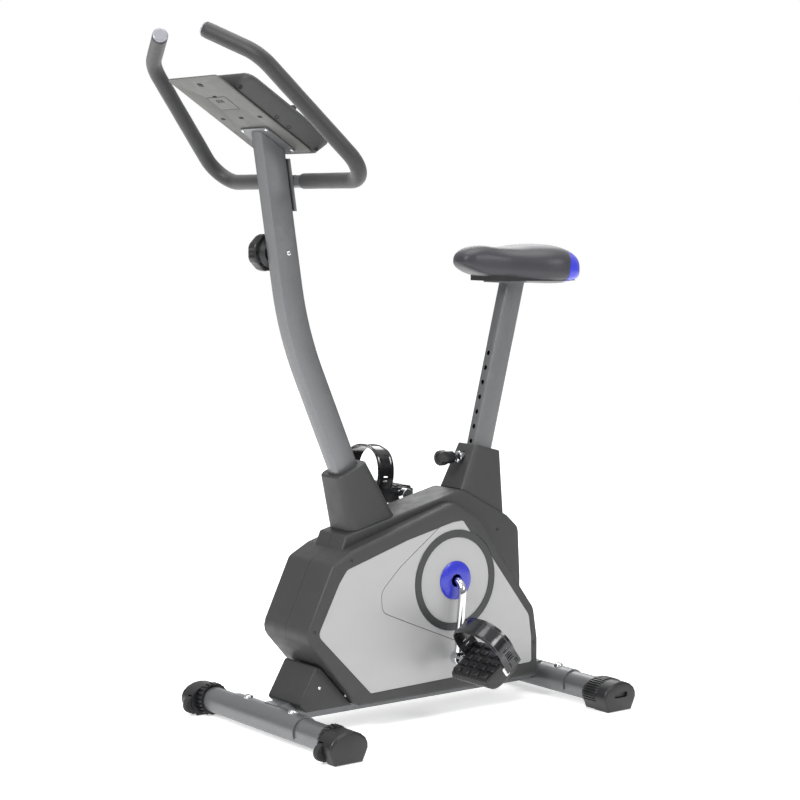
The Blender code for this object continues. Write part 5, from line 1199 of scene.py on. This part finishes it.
# ------------------------------------------------------------------ fasteners
class BIKE_OT_fasteners(bpy.types.Operator):
    """Build the bolts and screws that show"""
    bl_idname = "bike.fasteners"
    bl_label = "Bolts and screws"

    def execute(self, context):
        zinc = finish("zinc_plate")
        front, rear = middle_of("front_stabilizer"), middle_of("rear_stabilizer")
        top = STABILIZER_Z + 0.0284
        heads = [dome_head((x, y, top), (0.0, 0.0, 1.0), 0.0095, 0.0050)
                 for x, y in ((0.075, front[1]), (-0.075, front[1]), (0.070, rear[1]),
                              (-0.070, rear[1]))]
        new_piece("stabilizer_bolts", heads, "main_frame", zinc,
                  smooth=30.0)
        heads = []
        for z in (1.0625, 1.0005):
            heads.append(dome_head((0.0, plate_face_y(z), z), (0.0, 1.0, 0.155), 0.0070,
                                   0.0040))
        new_piece("bar_plate_bolts", heads, "handlebar", zinc, smooth=30.0)
        post = dome_head((0.0190, -0.2550 + SHIFT, 0.9050), (1.0, 0.0, 0.0), 0.0050, 0.0022)
        new_piece("post_side_screw", [post], "front_post", zinc,
                  smooth=30.0)
        black = finish("moulded_nylon_black")
        heads = []
        for sign in (1.0, -1.0):
            for y, z in ((-0.153, 0.3290), (-0.2380, 0.2030), (0.2050, 0.3560),
                         (0.3010, 0.1180)):
                heads.append(dome_head((sign * (COVER_FACE - 0.0006), y + SHIFT, z),
                                       (sign, 0.0, 0.0), 0.0036, 0.0012, 0.55))
        new_piece("cover_screws", heads, "cover_left", black, smooth=30.0)
        heads = []
        for y, z in ((-0.2100, 0.0900), (-0.1490, 0.0680)):
            heads.append(dome_head((0.0520, y + SHIFT, z), (1.0, 0.0, 0.0), 0.0036, 0.0014,
                                   0.5))
        new_piece("lower_cover_screws", heads, "front_lower_cover", zinc,
                  smooth=30.0)
        return {"FINISHED"}


def plate_face_y(z):
    """Rear face of the handlebar's plate at a height: it leans with the post."""
    slope = -0.155
    axis = -0.2335 + SHIFT + slope * (z - 0.758)
    return axis + 0.0260 * math.sqrt(1.0 + slope * slope) + 0.0004 + 0.0045


# ------------------------------------------------------------------ stage
class BIKE_OT_stage(bpy.types.Operator):
    """Build the floor, the lights and the camera"""
    bl_idname = "bike.stage"
    bl_label = "Stage"

    def execute(self, context):
        scene = context.scene
        u = np.linspace(-9.0, 9.0, 13)
        points = np.stack([*np.meshgrid(u, u, indexing="ij"),
                           np.full((13, 13), -0.0005)], axis=-1)
        index = np.arange(169).reshape(13, 13)
        quads = np.stack([index[:-1, :-1], index[1:, :-1], index[1:, 1:], index[:-1, 1:]], -1)
        mesh = bpy.data.meshes.new("floor")
        mesh.from_pydata(points.reshape(-1, 3).tolist(), [], quads.reshape(-1, 4).tolist())
        floor = add_object("floor", mesh, 30.0)
        white = grained("matt_white_floor", linear("#f6f6f6"), 0.75, 20.0, 0.0, tone=0.004)
        glow = white.node_tree.nodes["Principled BSDF"]
        glow.inputs["Emission Color"].default_value = (1.0, 1.0, 1.0, 1.0)
        glow.inputs["Emission Strength"].default_value = 0.50
        floor.data.materials.append(white)

        # the studio's walls look white, and light the bike a little less than they look
        world = bpy.data.worlds.new("studio")
        scene.world = world
        world.use_nodes = True
        tree = world.node_tree
        tree.nodes.clear()
        seen = add_node(tree, "ShaderNodeLightPath").outputs["Is Camera Ray"]
        toward = add_node(tree, "ShaderNodeTexCoord").outputs["Generated"]
        height = add_node(tree, "ShaderNodeSeparateXYZ", {"Vector": toward})
        glow = add_node(tree, "ShaderNodeMapRange",
                        {"Value": height.outputs["Z"], "From Min": 0.0, "From Max": 0.8,
                         "To Min": 0.20, "To Max": 0.85})
        strength = add_node(tree, "ShaderNodeMapRange",
                            {"Value": seen, "To Min": glow.outputs[0], "To Max": 1.0})
        walls = add_node(tree, "ShaderNodeBackground", {"Color": (1.0, 1.0, 1.0, 1.0),
                                                        "Strength": strength.outputs[0]})
        add_node(tree, "ShaderNodeOutputWorld", {"Surface": walls.outputs[0]})
        scene.view_settings.view_transform = "Standard"

        target = Vector((0.0, 0.0, 0.60))
        for name, place, size, power in (
                ("key_softbox", (0.9, -3.4, 2.9), 1.4, 115.0),
                ("side_softbox", (3.6, 0.9, 2.4), 1.3, 50.0),
                ("top_softbox", (-0.2, 0.2, 3.8), 2.4, 60.0),
                ("back_softbox", (-2.8, 2.4, 2.4), 1.8, 35.0)):
            lamp = bpy.data.lights.new(name, "AREA")
            lamp.shape = "SQUARE"
            lamp.size = size
            lamp.energy = power
            holder = bpy.data.objects.new(name, lamp)
            scene.collection.objects.link(holder)
            holder.location = place
            holder.rotation_mode = "QUATERNION"
            holder.rotation_quaternion = (target - Vector(place)).to_track_quat("-Z", "Y")

        azimuth, pitch, roll = (math.radians(a) for a in (52.704, 5.212, 0.185))
        forward = Vector((-math.sin(azimuth) * math.cos(pitch),
                          math.cos(azimuth) * math.cos(pitch), -math.sin(pitch)))
        level = Vector((math.cos(azimuth), math.sin(azimuth), 0.0))
        upright = level.cross(forward)
        right = level * math.cos(roll) + upright * math.sin(roll)
        up = upright * math.cos(roll) - level * math.sin(roll)
        camera = bpy.data.cameras.new("camera")
        camera.sensor_width = 36.0
        camera.lens = 92.45
        camera.clip_end = 60.0
        viewer = bpy.data.objects.new("camera", camera)
        scene.collection.objects.link(viewer)
        turn = Matrix((right, up, -forward)).transposed().to_4x4()
        viewer.matrix_world = Matrix.Translation((3.161, -2.390 + SHIFT, 0.980)) @ turn
        scene.camera = viewer
        return {"FINISHED"}


# ------------------------------------------------------------------ panel
OPERATORS = (BIKE_OT_stage, BIKE_OT_steelwork, BIKE_OT_covers, BIKE_OT_drive, BIKE_OT_pedals,
             BIKE_OT_saddle, BIKE_OT_handlebar, BIKE_OT_console, BIKE_OT_controls,
             BIKE_OT_caps, BIKE_OT_fasteners)


class BIKE_PT_sidebar(bpy.types.Panel):
    """The bike's colours, sizes and pieces"""
    bl_label = "Exercise Bike"
    bl_idname = "BIKE_PT_sidebar"
    bl_space_type = "VIEW_3D"
    bl_region_type = "UI"
    bl_category = "Bike"

    def draw(self, context):
        layout = self.layout
        for group in (context.scene.bike_colours, context.scene.bike_sizes):
            box = layout.box()
            for key in group.bl_rna.properties.keys():
                if key not in ("rna_type", "name"):
                    box.prop(group, key)
        for operator in OPERATORS:
            layout.operator(operator.bl_idname)


CLASSES = (BikeColours, BikeSizes, *OPERATORS, BIKE_PT_sidebar)


def register():
    for item in CLASSES:
        bpy.utils.register_class(item)
    bpy.types.Scene.bike_colours = bpy.props.PointerProperty(type=BikeColours)
    bpy.types.Scene.bike_sizes = bpy.props.PointerProperty(type=BikeSizes)


def unregister():
    del bpy.types.Scene.bike_sizes
    del bpy.types.Scene.bike_colours
    for item in reversed(CLASSES):
        bpy.utils.unregister_class(item)


def main():
    register()
    for operator in OPERATORS:
        group, name = operator.bl_idname.split(".")
        getattr(getattr(bpy.ops, group), name)()


if __name__ == "__main__":
    main()
